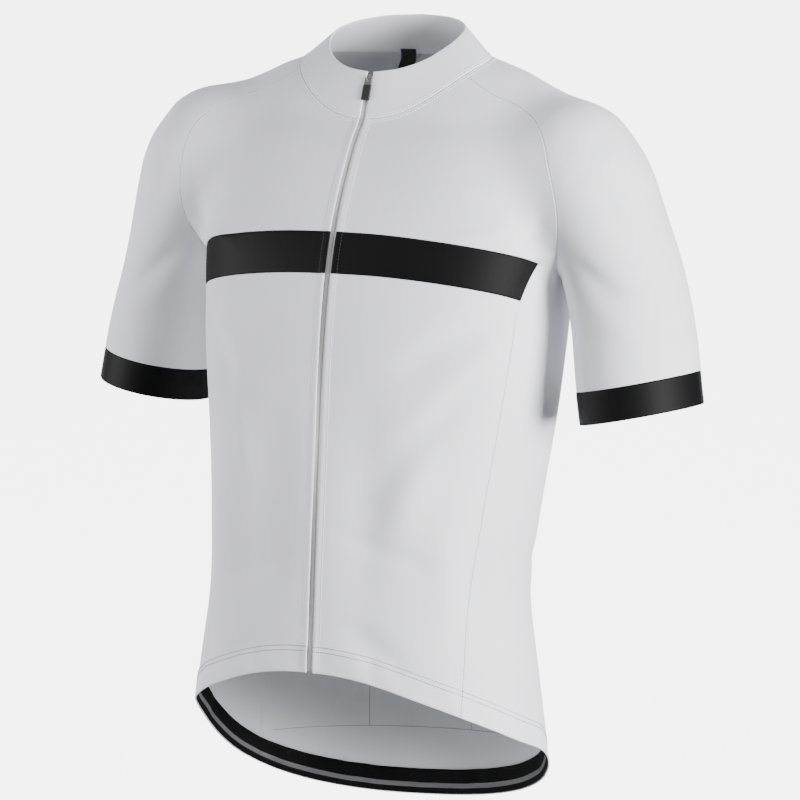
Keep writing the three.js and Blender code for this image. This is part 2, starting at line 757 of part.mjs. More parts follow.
// Front panels: below the band, the band, and the chest above it
const zipLowerShare = shareAtHeight(frontEdge, BAND.lowerFront);
const zipUpperShare = shareAtHeight(frontEdge, BAND.upperFront);
const lowerFront = panelGrid(
  spaced(hemPath(zipAngle, sideFrontAngle), CELLS.front + 1),
  bandLowerCells,
  cells(frontEdge, 0, zipLowerShare, CELLS.lower),
  sideLower,
);
const zipBand = cells(frontEdge, zipLowerShare, zipUpperShare, CELLS.band);
const band = panelGrid(bandLowerCells, bandUpperCells, zipBand, sideBand);
const chest = panelGrid(
  bandUpperCells,
  neckFront,
  cells(frontEdge, zipUpperShare, 1, CELLS.underBandEnd + CELLS.raglan),
  joined(sideTop, raglanFrontLong.slice().reverse()),
);

for (const [name, grid, material] of [
  ["front_lower", lowerFront, whiteCloth],
  ["chest_band", band, blackCloth],
]) {
  addPair(name, drawnIn(grid), outward(grid), CLOTH, material);
}
addPair("front_chest", drawnIn(chest), shareNeckNormal(chest, outward(chest)), CLOTH, whiteCloth);

// Side panels, from the hem to the underarm
const sideGrid = panelGrid(
  spaced(hemPath(sideFrontAngle, (z) => -sideBackAngle(z)), 2 * CELLS.underarm + 1),
  joined(raglanFrontShort, raglanBackShort.slice().reverse()),
  joined(sideLower, sideBand, sideTop),
  sideBackCells,
);
const side = drawnIn(sideGrid);
const sideNormals = outward(sideGrid);
addPair("side_panel", side, sideNormals, CLOTH, whiteCloth);

// Back panel, one piece from side seam to side seam
const backEdge = joined(sideBackCells, raglanBackLong.slice().reverse());
const hemBack = spaced(hemPath(() => -90, (z) => -sideBackAngle(z)), CELLS.back + 1);
const middleBack = traced((t) => torsoPoint(-90, lerp(hemBack[0].z, neckPoint(180).z, t)));
const middleCells = spaced(middleBack, backEdge.length);
const backHalf = panelGrid(hemBack, neckBack.slice().reverse(), middleCells, backEdge);
const backGrid = backHalf.map((row) => {
  const far = row.slice(1).map((p) => new THREE.Vector3(-p.x, p.y, p.z));
  return [...row.slice().reverse(), ...far];
});
const back = drawnIn(backGrid);
const backNormals = shareNeckNormal(backGrid, outward(backGrid));
addCloth("back_panel", wallBetween(back, moved(back, backNormals, -CLOTH)), whiteCloth);

// Sleeves: rows fan over the shoulder between the raglan seams, then run round the arm to the cuff seam.
const ridgeCurves = ["x", "y", "z"].map((axis) => columnCurve(SHOULDER_RIDGE, "share", axis));
const coreCurves = ["x", "y", "z"].map((axis) => columnCurve(SLEEVE_CORE, "share", axis));
const ridgePoint = (share) => ontoCloth(new THREE.Vector3(...ridgeCurves.map((curve) => curve(share))));
const corePoint = (share) => new THREE.Vector3(...coreCurves.map((curve) => curve(share)));
const BACKWARDS = new THREE.Vector3(0, 1, 0);

// A row over the shoulder. Below the armpit its inner end would run into the body, so it keeps to the tube.
const UNDERARM_SPREAD = 14;
const SLEEVE_REACH = 200;
const LEAN_POWER = 1.6;
function shoulderRow(share, atFront, atBack) {
  const from = corePoint(share);
  const out = ridgePoint(share).sub(from).normalize();
  const aside = BACKWARDS.clone().addScaledVector(out, -BACKWARDS.dot(out)).normalize();
  const along = out.clone().cross(aside);
  const seat = (p) => {
    const d = p.clone().sub(from);
    const flat = Math.hypot(d.dot(out), d.dot(aside));
    return { turn: Math.atan2(d.dot(aside), d.dot(out)), lean: d.dot(along) / flat };
  };
  const first = seat(atFront);
  const last = seat(atBack);
  if (share === 1) {
    first.turn = -Math.PI;
    last.turn = Math.PI;
  }
  const row = [];
  for (let i = 0; i <= CELLS.sleeve; i += 1) {
    const turn = lerp(first.turn, last.turn, i / CELLS.sleeve);
    const end = turn < 0 ? first : last;
    const lean = end.lean * (turn / end.turn) ** LEAN_POWER;
    const ray = out.clone().multiplyScalar(Math.cos(turn));
    ray.addScaledVector(aside, Math.sin(turn)).addScaledVector(along, lean).normalize();
    const point = leavesCloth(from, ray, SLEEVE_REACH);
    const tube = leavesCloth(from, ray, SLEEVE_REACH, sleeveDistance);
    row.push(point.distanceTo(from) > tube.distanceTo(from) + UNDERARM_SPREAD ? tube : point);
  }
  row[0] = atFront.clone();
  row[CELLS.sleeve] = atBack.clone();
  return row;
}

// A ring of the lower sleeve round a centre, square to the arm, from the underarm seam round and back to it
function armRing(centre) {
  const out = new THREE.Vector3(Math.cos(radians(CUFF_TILT)), 0, Math.sin(radians(CUFF_TILT)));
  return Array.from({ length: CELLS.sleeve + 1 }, (_, i) => {
    const turn = lerp(-Math.PI, Math.PI, i / CELLS.sleeve);
    const ray = out.clone().multiplyScalar(Math.cos(turn)).addScaledVector(BACKWARDS, Math.sin(turn));
    return leavesCloth(centre, ray, SLEEVE_REACH, sleeveDistance);
  });
}

const ARM_ROWS = 6;
const raglanFrontCells = joined(raglanFrontLong, raglanFrontShort);
const raglanBackCells = joined(raglanBackLong, raglanBackShort);
const shoulderRows = raglanFrontCells.length - 1;
const sleeveRows = [neckSide];
for (let j = 1; j <= shoulderRows; j += 1) {
  sleeveRows.push(shoulderRow(j / shoulderRows, raglanFrontCells[j], raglanBackCells[j]));
}
const armTop = corePoint(1);
for (let j = 1; j <= ARM_ROWS; j += 1) {
  sleeveRows.push(armRing(armTop.clone().lerp(vector(CUFF_SEAM), j / ARM_ROWS)));
}
const sleeveGrid = evened(sleeveRows.slice().reverse(), figure, ARM_ROWS + 1);
const sleeveNormals = sleeveGrid.map((row, j) =>
  row.map((p) => gradient(p, j < ARM_ROWS ? sleeveDistance : figure).normalize()),
);
shareNeckNormal(sleeveGrid, sleeveNormals);
addPair("sleeve", drawnIn(sleeveGrid), sleeveNormals, CLOTH, whiteCloth);

// Cuffs: a doubled band sewn to the sleeve's end
const cuffAxis = new THREE.Vector3(Math.sin(radians(CUFF_TILT)), 0, -Math.cos(radians(CUFF_TILT)));
const cuffRows = [1, 0].map((t) => armRing(vector(CUFF_SEAM).addScaledVector(cuffAxis, t * CUFF_WIDTH)));
addPair("cuff", drawnIn(cuffRows), outward(cuffRows, sleeveDistance), DOUBLE_CLOTH, blackCloth);

// Collar: a doubled strip from the neckline to its free edge, open at the zip
const COLLAR_ROWS = 2;
const collarTopZip = (Math.asin(ZIP_OPENING / COLLAR_TOP.halfWidth) * 180) / Math.PI;
const neckLeft = joined(neckFront, neckSide, neckBack);
const neckRight = neckLeft.map((p) => new THREE.Vector3(-p.x, p.y, p.z)).reverse();
const neckAngle = (p) =>
  (Math.atan2(Math.abs(p.x) / NECK.halfWidth, (NECK.y - p.y) / NECK.halfDepth) * 180) / Math.PI;
const collarFoot = joined(neckLeft, neckRight);
const collarAngles = collarFoot.map((p) => neckAngle(p) * (p.x < 0 ? -1 : 1));
const collarTips = collarFoot.map((p) => {
  const round = (neckAngle(p) - neckZipAngle) / (180 - neckZipAngle);
  const tip = collarTopPoint(lerp(collarTopZip, 180, round));
  tip.x *= Math.sign(p.x || 1);
  return tip;
});
const collarRows = [];
for (let j = 0; j <= COLLAR_ROWS; j += 1) {
  collarRows.push(collarFoot.map((p, i) => p.clone().lerp(collarTips[i], j / COLLAR_ROWS)));
}
const collar = drawnIn(collarRows);
const collarNormals = collarRows.map((row, j) =>
  row.map((p, i) => (j === 0 ? neckNormal(p) : collarNormal(collarAngles[i]))),
);
addCloth("collar", wallBetween(collar, moved(collar, collarNormals, -DOUBLE_CLOTH)), collarCloth);

// Zip: a strip of the garment's outer face beside the middle line, from the hem to the collar's edge
const ZIP_ROWS_BODY = 24;
const ZIP_ROWS_COLLAR = 4;
function zipFace(acrossAt) {
  const rows = [];
  const normals = [];
  const bottom = hemAtZip.z + ZIP_END_GAP;
  const neck = neckPoint(0);
  for (let j = 0; j < ZIP_ROWS_BODY - 1; j += 1) {
    const z = lerp(bottom, neck.z, j / (ZIP_ROWS_BODY - 1));
    const row = acrossAt(0).map((x) => {
      const p = torsoPoint(angleAcross(Math.abs(x), z), z);
      p.x *= Math.sign(x);
      return p;
    });
    rows.push(row);
    normals.push(outward([row])[0]);
  }
  const neckRow = acrossAt(0).map((x) => neckPoint((Math.asin(x / NECK.halfWidth) * 180) / Math.PI));
  rows.push(neckRow);
  normals.push(neckRow.map((p) => neckNormal(p)));
  for (let j = 1; j <= ZIP_ROWS_COLLAR; j += 1) {
    const t = j / ZIP_ROWS_COLLAR;
    const across = acrossAt(t);
    rows.push(
      across.map((x) => {
        const base = neckPoint((Math.asin(x / NECK.halfWidth) * 180) / Math.PI);
        const tip = collarTopPoint((Math.asin(x / COLLAR_TOP.halfWidth) * 180) / Math.PI);
        return base.lerp(tip, t * COLLAR_ZIP_SHARE);
      }),
    );
    normals.push(across.map(() => collarNormal(0)));
  }
  return { rows, normals };
}

// Zip tapes: two woven strips, smooth side out, sewn behind the front edges and parted round the slider
const tapeDepth = (j) => (j < ZIP_ROWS_BODY - 1 ? TAPE.behind : TAPE.collarBehind);
const tapeFace = zipFace((t) => {
  const inner = t > TAPE.partedFrom ? TAPE.partedGap : TAPE.middleGap;
  return Array.from({ length: TAPE.columns + 1 }, (_, i) => lerp(inner, TAPE.width, i / TAPE.columns));
});
const tapeOuter = moved(tapeFace.rows, tapeFace.normals, (j) => -tapeDepth(j));
const tapeInner = moved(tapeFace.rows, tapeFace.normals, (j) => -tapeDepth(j) - TAPE.thickness);
addCloth("zip_tape_left", wallBetween(tapeOuter, tapeInner), zipTape);
addCloth("zip_tape_right", wallBetween(mirrored(tapeOuter), mirrored(tapeInner), true), zipTape);

// Zip coil: the closed chain behind the tapes, as a plain strip that ends inside the slider
const coilFace = zipFace(() => [-COIL.halfWidth, COIL.halfWidth]);
const coilDepth = (j) => tapeDepth(j) + TAPE.thickness + COIL.gap;
const coilRows = ZIP_ROWS_BODY + ZIP_ROWS_COLLAR - 1;
const coilOuter = moved(coilFace.rows, coilFace.normals, (j) => -coilDepth(j));
const coilInner = moved(coilFace.rows, coilFace.normals, (j) => -coilDepth(j) - COIL.thickness);
addCloth("zip_coil", wallBetween(coilOuter.slice(0, coilRows), coilInner.slice(0, coilRows)), zipTape);

// Slider and pull stand in a group on the collar: x across, y up along the zip and z out of the cloth.
const collarTip = collarTopPoint(0);
const zipUp = collarTip.clone().sub(neckPoint(0)).normalize();
const zipOut = collarNormal(0);
const zipAcross = zipUp.clone().cross(zipOut);
const hardware = new THREE.Group();
hardware.name = "zip_hardware";
hardware.applyMatrix4(new THREE.Matrix4().makeBasis(zipAcross, zipUp, zipOut).setPosition(collarTip));
jersey.add(hardware);

// A closed shape as a solid that can be joined and cut
function solid(geometry) {
  geometry.deleteAttribute("normal");
  geometry.deleteAttribute("uv");
  const merged = mergeVertices(geometry);
  const vertProperties = new Float32Array(merged.getAttribute("position").array);
  const triVerts = new Uint32Array(merged.getIndex().array);
  return new Manifold(new wasm.Mesh({ numProp: 3, vertProperties, triVerts }));
}

function block(width, length, depth, up, out) {
  return solid(new THREE.BoxGeometry(width, length, depth).translate(0, up, out));
}

function addHardware(name, shape, material) {
  const mesh = shape.getMesh();
  const geometry = new THREE.BufferGeometry();
  geometry.setAttribute("position", new THREE.BufferAttribute(mesh.vertProperties, mesh.numProp));
  geometry.setIndex(Array.from(mesh.triVerts));
  addMesh(name, geometry, material, hardware);
}

// Slider: a front plate in the zip opening and a wider back plate with side walls round the coil, joined by
// a post. The bail is the arch on the front plate that the pull hangs from.
const coilBack = -(TAPE.collarBehind + TAPE.thickness + COIL.gap + COIL.thickness);
const plateInner = coilBack - SLIDER.behindCoil;
const plateOuter = plateInner - SLIDER.backPlate;
const wallTop = -(TAPE.collarBehind + TAPE.thickness) - SLIDER.clearance;
const sliderMiddle = SLIDER.topUp - SLIDER.length / 2;
const postMiddle = SLIDER.topUp - SLIDER.postLength / 2;
const THROUGH = 2;

// A block between two distances out of the cloth
function between(width, length, up, inner, outer) {
  return block(width, length, outer - inner, up, (inner + outer) / 2);
}
const frontPlate = between(
  SLIDER.frontWidth,
  SLIDER.length,
  sliderMiddle,
  SLIDER.frontInner,
  SLIDER.frontOuter,
);
const channel = between(
  SLIDER.backWidth - 2 * SLIDER.wall,
  SLIDER.length + THROUGH,
  sliderMiddle,
  plateInner,
  wallTop + THROUGH,
);
const backBlock = between(SLIDER.backWidth, SLIDER.length, sliderMiddle, plateOuter, wallTop);
const backPlate = backBlock.subtract(channel);
const post = between(SLIDER.post, SLIDER.postLength, postMiddle, plateOuter, SLIDER.frontOuter);

const bailLength = BAIL.opening + 2 * BAIL.bar;
const bailMiddle = BAIL.bottomUp + bailLength / 2;
const bailFoot = SLIDER.frontOuter - BAIL.sunk;
const bailUnder = SLIDER.frontOuter + BAIL.height;
const bailHole = between(
  BAIL.width + THROUGH,
  BAIL.opening,
  bailMiddle,
  SLIDER.frontOuter,
  bailUnder,
);
const bail = between(BAIL.width, bailLength, bailMiddle, bailFoot, bailUnder + BAIL.bar).subtract(bailHole);
addHardware("zip_slider", frontPlate.add(backPlate).add(post).add(bail), metal);

// Pull: a metal link round the bail, hinged on its cross bar, with a moulded grip over its lower end
const hingeUp = BAIL.bottomUp + BAIL.bar + PULL.barPlay + PULL.barRadius;
const hingeOut = SLIDER.frontOuter + PULL.barRadius + PULL.stand;
const BAR_SIDES = 16;
const crossBar = new THREE.CylinderGeometry(PULL.barRadius, PULL.barRadius, PULL.width, BAR_SIDES);
crossBar.rotateZ(Math.PI / 2).translate(0, hingeUp, hingeOut);
const strip = block(PULL.width, GRIP.fromBar, PULL.plate, hingeUp - GRIP.fromBar / 2, hingeOut);
const windowLength = PULL.window + THROUGH;
const window = block(
  PULL.width - 2 * PULL.arm,
  windowLength,
  PULL.plate + THROUGH,
  hingeUp - PULL.window + windowLength / 2,
  hingeOut,
);
const tongueMiddle = hingeUp - GRIP.fromBar + TONGUE.root - TONGUE.length / 2;
const tongue = (play) =>
  block(TONGUE.width + 2 * play, TONGUE.length + 2 * play, PULL.plate + 2 * play, tongueMiddle, hingeOut);
addHardware("pull_link", strip.subtract(window).add(solid(crossBar)).add(tongue(0)), metal);

// The grip is a bar with rounded edges along its length, and a slot for the link's tongue.
const gripEdge = new THREE.Shape();
const cornerAcross = GRIP.width / 2 - GRIP.corner;
const cornerOut = GRIP.thickness / 2 - GRIP.corner;
gripEdge.absarc(cornerAcross, cornerOut, GRIP.corner, 0, Math.PI / 2);
gripEdge.absarc(-cornerAcross, cornerOut, GRIP.corner, Math.PI / 2, Math.PI);
gripEdge.absarc(-cornerAcross, -cornerOut, GRIP.corner, Math.PI, (3 * Math.PI) / 2);
gripEdge.absarc(cornerAcross, -cornerOut, GRIP.corner, (3 * Math.PI) / 2, 2 * Math.PI);
gripEdge.closePath();
const gripBar = new THREE.ExtrudeGeometry(gripEdge, {
  depth: GRIP.length,
  bevelEnabled: false,
  curveSegments: 3,
});
gripBar.rotateX(Math.PI / 2).translate(0, hingeUp - GRIP.fromBar - GRIP.play, hingeOut);
addHardware("pull_grip", solid(gripBar).subtract(tongue(GRIP.play)), rubber);

// Neck label: a short strip that hangs inside from the collar seam, a little off the middle of the back
const labelX = columnCurve(LABEL_LINE, "share", "x");
const labelZ = columnCurve(LABEL_LINE, "share", "z");
const labelRows = [];
for (let j = 0; j <= LABEL.rows; j += 1) {
  const t = 1 - j / LABEL.rows;
  const z = labelZ(t);
  const row = [1, 0, -1].map((side) => {
    const x = labelX(t) + (side * LABEL.width) / 2;
    const p = torsoPoint(-angleAcross(Math.abs(x), z), z);
    p.x = x;
    return p;
  });
  labelRows.push(row);
}
const labelNormals = outward(labelRows, torsoDistance);
const labelOuter = moved(labelRows, labelNormals, -CLOTH - LABEL.gap);
const labelInner = moved(labelRows, labelNormals, -CLOTH - LABEL.gap - LABEL.thickness);
addCloth("neck_label", wallBetween(labelOuter, labelInner), blackElastic);

// The point of a grid's column a given way up the cloth from its foot, with the cloth's normal there
function upColumn(grid, normals, i, distance) {
  let left = distance;
  let j = 0;
  while (j < grid.length - 2 && grid[j][i].distanceTo(grid[j + 1][i]) < left) {
    left -= grid[j][i].distanceTo(grid[j + 1][i]);
    j += 1;
  }
  const t = left / grid[j][i].distanceTo(grid[j + 1][i]);
  return {
    point: grid[j][i].clone().lerp(grid[j + 1][i], t),
    normal: normals[j][i].clone().lerp(normals[j + 1][i], t).normalize(),
  };
}

// The same, but at a given height
function atHeight(grid, normals, i, z) {
  let j = 0;
  while (j < grid.length - 2 && grid[j + 1][i].z < z) j += 1;
  const t = (z - grid[j][i].z) / (grid[j + 1][i].z - grid[j][i].z);
  return {
    point: grid[j][i].clone().lerp(grid[j + 1][i], t),
    normal: normals[j][i].clone().lerp(normals[j + 1][i], t).normalize(),
  };
}

// Hem gripper: an elastic tape inside the hem of the sides and back
const farSide = mirrored(side).map((row) => row.slice().reverse());
const farSideNormals = sideNormals.map((row) => row.map((n) => new THREE.Vector3(-n.x, n.y, n.z)).reverse());
const gripperRows = [GRIPPER.lower, GRIPPER.upper].map((distance) =>
  [
    [side, sideNormals],
    [back, backNormals],
    [farSide, farSideNormals],
  ].flatMap(([grid, normals]) => grid[0].map((_, i) => upColumn(grid, normals, i, distance))),
);
const gripperAt = (depth) =>
  gripperRows.map((row) => row.map(({ point, normal }) => point.clone().addScaledVector(normal, -depth)));
const gripperOuter = gripperAt(CLOTH + GRIPPER.gap);
const gripperInner = gripperAt(CLOTH + GRIPPER.gap + GRIPPER.thickness);
addCloth("hem_gripper", wallBetween(gripperOuter, gripperInner), blackElastic);

// Back pockets: one wide panel sewn to the back at its foot, its ends and two dividers, its mouths open
const middleColumn = (back[0].length - 1) / 2;
const pocketSeams = [
  POCKET.endColumns,
  middleColumn - POCKET.divider,
  middleColumn + POCKET.divider,
  back[0].length - 1 - POCKET.endColumns,
];
function pocketSwell(i, rise) {
  const k = pocketSeams.findIndex((seam, n) => n < 3 && i >= seam && i <= pocketSeams[n + 1]);
  const across = (i - pocketSeams[k]) / (pocketSeams[k + 1] - pocketSeams[k]);
  return POCKET.depth * Math.sin(Math.PI * across) ** POCKET.fullness * rise ** POCKET.opening;
}
const pocketAt = (extra) =>
  Array.from({ length: POCKET.rows + 1 }, (_, j) => {
    const rise = j / POCKET.rows;
    const row = [];
    for (let i = pocketSeams[0]; i <= pocketSeams[3]; i += 1) {
      const { point, normal } = atHeight(back, backNormals, i, lerp(POCKET.foot, POCKET.mouth, rise));
      row.push(point.addScaledVector(normal, POCKET.gap + pocketSwell(i, rise) + extra));
    }
    return row;
  });
addCloth("pocket_panel", wallBetween(pocketAt(CLOTH), pocketAt(0)), whiteCloth);

export default jersey;
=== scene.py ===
import math

import bpy
import numpy as np
from mathutils import Matrix, Vector


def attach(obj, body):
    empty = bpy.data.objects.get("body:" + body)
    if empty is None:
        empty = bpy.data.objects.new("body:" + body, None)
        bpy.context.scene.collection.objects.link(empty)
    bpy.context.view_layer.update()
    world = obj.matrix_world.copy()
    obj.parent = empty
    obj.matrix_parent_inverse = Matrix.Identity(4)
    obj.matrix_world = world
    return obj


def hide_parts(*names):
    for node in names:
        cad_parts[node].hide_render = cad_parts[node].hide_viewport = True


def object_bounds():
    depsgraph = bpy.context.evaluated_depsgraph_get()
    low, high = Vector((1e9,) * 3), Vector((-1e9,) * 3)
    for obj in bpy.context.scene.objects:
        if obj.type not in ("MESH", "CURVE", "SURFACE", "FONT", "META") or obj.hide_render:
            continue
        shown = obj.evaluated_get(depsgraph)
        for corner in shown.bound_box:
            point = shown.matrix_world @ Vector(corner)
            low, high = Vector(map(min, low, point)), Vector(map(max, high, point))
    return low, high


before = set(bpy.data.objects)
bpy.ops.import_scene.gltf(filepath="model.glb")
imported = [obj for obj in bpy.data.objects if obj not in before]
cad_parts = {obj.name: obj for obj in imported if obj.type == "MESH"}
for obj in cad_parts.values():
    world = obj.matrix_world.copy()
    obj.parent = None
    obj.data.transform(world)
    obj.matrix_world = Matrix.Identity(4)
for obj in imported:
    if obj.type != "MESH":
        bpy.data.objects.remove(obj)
cad_low, cad_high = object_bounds()

# Camera: stands 3 m off, turned towards the jersey's left side and a little above level, as in the photo.
# The view's middle lies below the neck, so the collar comes near the top of the picture.
AZIMUTH = math.radians(27)
ELEVATION = math.radians(7)
DISTANCE = 3.0
PICTURE = 800
PIXELS_PER_METRE = 1030
NECK_PIXEL_ROW = 80
SENSOR_MM = 36

view_right = Vector((math.cos(AZIMUTH), math.sin(AZIMUTH), 0))
view_back = Vector((
    math.sin(AZIMUTH) * math.cos(ELEVATION),
    -math.cos(AZIMUTH) * math.cos(ELEVATION),
    math.sin(ELEVATION),
))
view_up = view_back.cross(view_right)
drop = (PICTURE / 2 - NECK_PIXEL_ROW) / PIXELS_PER_METRE
camera_data = bpy.data.cameras.new("camera")
camera_data.sensor_width = SENSOR_MM
camera_data.lens = PIXELS_PER_METRE * DISTANCE / PICTURE * SENSOR_MM
camera = bpy.data.objects.new("camera", camera_data)
bpy.context.scene.collection.objects.link(camera)
turn = Matrix((view_right, view_up, view_back)).transposed().to_4x4()
camera.matrix_world = Matrix.Translation(view_back * DISTANCE - view_up * drop) @ turn
bpy.context.scene.camera = camera

# Floor and light: a plain pale studio. A large soft lamp stands on each side, the stronger one on the
# jersey's left, with weak ones in front and above the back. A white wall that glows evenly stands far behind
# the jersey and gives the picture its pale ground.
FLOOR_BELOW = 2.4
FLOOR_HALF = 12.0
FLOOR_COLOUR = (0.8, 0.8, 0.8, 1)
WALL = {"distance": 9.0, "half_width": 5.0, "top": 3.5, "glow": 5}
WORLD_COLOUR = (0.93, 0.95, 1.0, 1)
WORLD_STRENGTH = 0.2
JERSEY_MIDDLE = Vector((0, -0.04, -0.33))


def lamp(name, place, size, watts):
    """A square area lamp at a place, aimed at the middle of the jersey."""
    data = bpy.data.lights.new(name, "AREA")
    data.size = size
    data.energy = watts
    made = bpy.data.objects.new(name, data)
    made.location = place
    aim = JERSEY_MIDDLE - Vector(place)
    made.rotation_euler = aim.to_track_quat("-Z", "Y").to_euler()
    bpy.context.scene.collection.objects.link(made)


def stage_piece(name, corners, material):
    """A flat four-cornered piece of the studio, which isn't part of the jersey."""
    mesh = bpy.data.meshes.new(name)
    mesh.from_pydata(corners, [], [(0, 1, 2, 3)])
    mesh.materials.append(material)
    made = bpy.data.objects.new(name, mesh)
    bpy.context.scene.collection.objects.link(made)


lamp("left_side", (2.3, -0.7, -0.05), 1.0, 170)
lamp("right_side", (-1.95, -1.0, -0.1), 0.9, 52)
lamp("front", (0.3, -2.0, 2.4), 1.2, 26)
lamp("top_back", (-0.6, 1.9, 1.7), 1.4, 14)

floor_z = cad_low.z - FLOOR_BELOW
floor_material = bpy.data.materials.new("floor")
floor_material.use_nodes = True
floor_shader = floor_material.node_tree.nodes["Principled BSDF"]
floor_shader.inputs["Base Color"].default_value = FLOOR_COLOUR
floor_shader.inputs["Roughness"].default_value = 0.9
square = ((-1, -1), (1, -1), (1, 1), (-1, 1))
stage_piece("floor", [(x * FLOOR_HALF, y * FLOOR_HALF, floor_z) for x, y in square], floor_material)

wall_material = bpy.data.materials.new("white_wall")
wall_material.use_nodes = True
wall_shader = wall_material.node_tree.nodes["Principled BSDF"]
wall_shader.inputs["Emission Color"].default_value = (1, 1, 1, 1)
wall_shader.inputs["Emission Strength"].default_value = WALL["glow"]
level_back = Vector((-math.sin(AZIMUTH), math.cos(AZIMUTH), 0))
wall_feet = [level_back * WALL["distance"] + view_right * side * WALL["half_width"] for side in (-1, 1)]
wall_heights = (floor_z, floor_z, WALL["top"], WALL["top"])
wall_corners = [(p.x, p.y, z) for p, z in zip(wall_feet + wall_feet[::-1], wall_heights)]
stage_piece("wall", wall_corners, wall_material)

world = bpy.data.worlds.new("world")
world.use_nodes = True
world.node_tree.nodes["Background"].inputs["Color"].default_value = WORLD_COLOUR
world.node_tree.nodes["Background"].inputs["Strength"].default_value = WORLD_STRENGTH
bpy.context.scene.world = world

# The garment's form: the outer face of the filled-out jersey, a body and two sleeves that run softly
# together. It is the form of the CAD solids, from the same sizes, and every cloth piece lies on it.
# Cloth sizes are in millimetres, as they are cut, and MM turns them into Blender's metres.
MM = 0.001
CLOTH = 1.4
DOUBLE_CLOTH = 2.0
SEAM_GAP = 0.3


def table(columns, rows):
    """A dict with one array for each named column."""
    return dict(zip(columns.split(), np.array(rows, float).T))


TORSO = table("z half_width front back squareness", [
    (-760, 192, -201, 54, 2.2),
    (-640, 182, -194, 50, 2.2),
    (-560, 171, -188, 48, 2.2),
    (-490, 161, -182, 52, 2.2),
    (-400, 165, -175, 72, 2.25),
    (-325, 172, -169, 90, 2.35),
    (-250, 177, -161, 99, 2.5),
    (-200, 179, -153, 103, 2.6),
    (-160, 182, -144, 104, 2.6),
    (-120, 190, -130, 103, 2.5),
    (-85, 195, -113, 100, 2.4),
    (-55, 194, -95, 95, 2.3),
    (-35, 190, -79, 90, 2.2),
    (-15, 174, -68, 84, 2.1),
    (0, 153, -60, 77, 2.0),
    (12, 130, -52, 70, 2.0),
    (22, 103, -43, 62, 2.0),
    (33, 68, -28, 52, 2.0),
    (44, 34, -10, 38, 2.0),
])
SLEEVE = table("z x y radius_x radius_y", [
    (-360, 273, -22, 59, 63),
    (-290, 262, -19, 59, 63),
    (-215, 250.5, -11, 58, 62),
    (-190, 244, -9, 58, 62),
    (-165, 236, -9, 59, 63),
    (-120, 218, -13, 63, 66),
    (-80, 202, -15, 66, 68),
    (-50, 190, -15, 66, 68),
])
SLEEVE_CAP_Z = -77
BLEND = table("z softness", [(-205, 8), (-190, 9), (-165, 20), (-140, 28), (-110, 34), (-60, 40), (0, 40)])


def column_curve(rows, key, column):
    """A smooth curve through a table's rows, of one column against another, straight past its ends."""
    t, v = rows[key], rows[column]
    gap = np.diff(t)
    slope = np.diff(v) / gap
    tangent = np.concatenate([slope[:1], slope, slope[-1:]])[: len(v)]
    tangent[1:-1] = (slope[:-1] * gap[1:] + slope[1:] * gap[:-1]) / (gap[:-1] + gap[1:])
    tangent[-1] = slope[-1]

    def at(x):
        x = np.asarray(x, float)
        i = np.clip(np.searchsorted(t, x, side="right") - 1, 0, len(t) - 2)
        h = t[i + 1] - t[i]
        s = (np.clip(x, t[0], t[-1]) - t[i]) / h
        rest = 1 - s
        inside = rest**2 * (1 + 2 * s) * v[i] + s**2 * (3 - 2 * s) * v[i + 1]
        inside += h * s * rest * (rest * tangent[i] - s * tangent[i + 1])
        return inside + tangent[0] * np.minimum(x - t[0], 0) + tangent[-1] * np.maximum(x - t[-1], 0)

    return at


torso_width, torso_front, torso_back, torso_squareness = (
    column_curve(TORSO, "z", name) for name in ("half_width", "front", "back", "squareness")
)
sleeve_x, sleeve_y, sleeve_radius_x, sleeve_radius_y = (
    column_curve(SLEEVE, "z", name) for name in ("x", "y", "radius_x", "radius_y")
)
blend_softness = column_curve(BLEND, "z", "softness")


def torso_distance(p):
    """Distance outside the body, from its superellipse section at the point's height."""
    x = p[..., 0]
    z = np.minimum(p[..., 2], TORSO["z"][-1])
    front, back, n = torso_front(z), torso_back(z), torso_squareness(z)
    y = p[..., 1] - (front + back) / 2
    across = np.abs(x) / torso_width(z)
    along = np.abs(y) / ((back - front) / 2)
    share = np.maximum((across**n + along**n) ** (1 / n), 0.05)
    return np.hypot(x, y) * (1 - 1 / share)


def sleeve_distance(p):
    """Distance outside the sleeve's elliptic tube and its round cap at the shoulder."""
    z = np.minimum(p[..., 2], SLEEVE["z"][-1])
    rx = sleeve_radius_x(z)
    x = np.abs(p[..., 0]) - sleeve_x(z)
    y = (p[..., 1] - sleeve_y(z)) * rx / sleeve_radius_y(z)
    above = np.maximum(p[..., 2] - SLEEVE_CAP_Z, 0)
    return np.sqrt(x**2 + y**2 + above**2) - rx


def figure(p):
    """Zero on the jersey's outer face: the smooth union of body and sleeve."""
    a, b = torso_distance(p), sleeve_distance(p)
    k = blend_softness(np.clip(p[..., 2], -200, 0))
    h = np.maximum(k - np.abs(a - b), 0) / k
    return np.minimum(a, b) - h * h * k / 4


def gradient(p, field=figure):
    """The field's slope at points, by central differences."""
    step = 0.25
    shifts = np.eye(3) * step
    return np.stack([(field(p + s) - field(p - s)) / (2 * step) for s in shifts], -1)


def unit(v):
    """Directions of length one."""
    return v / np.maximum(np.linalg.norm(v, axis=-1, keepdims=True), 1e-9)


def onto_cloth(p, field=figure, steps=5):
    """Pulls points onto the outer face, along the field's slope."""
    for _ in range(steps):
        g = gradient(p, field)
        p = p - g * (field(p) / np.maximum((g**2).sum(-1), 0.05))[..., None]
    return p


RAY_STEP = 4


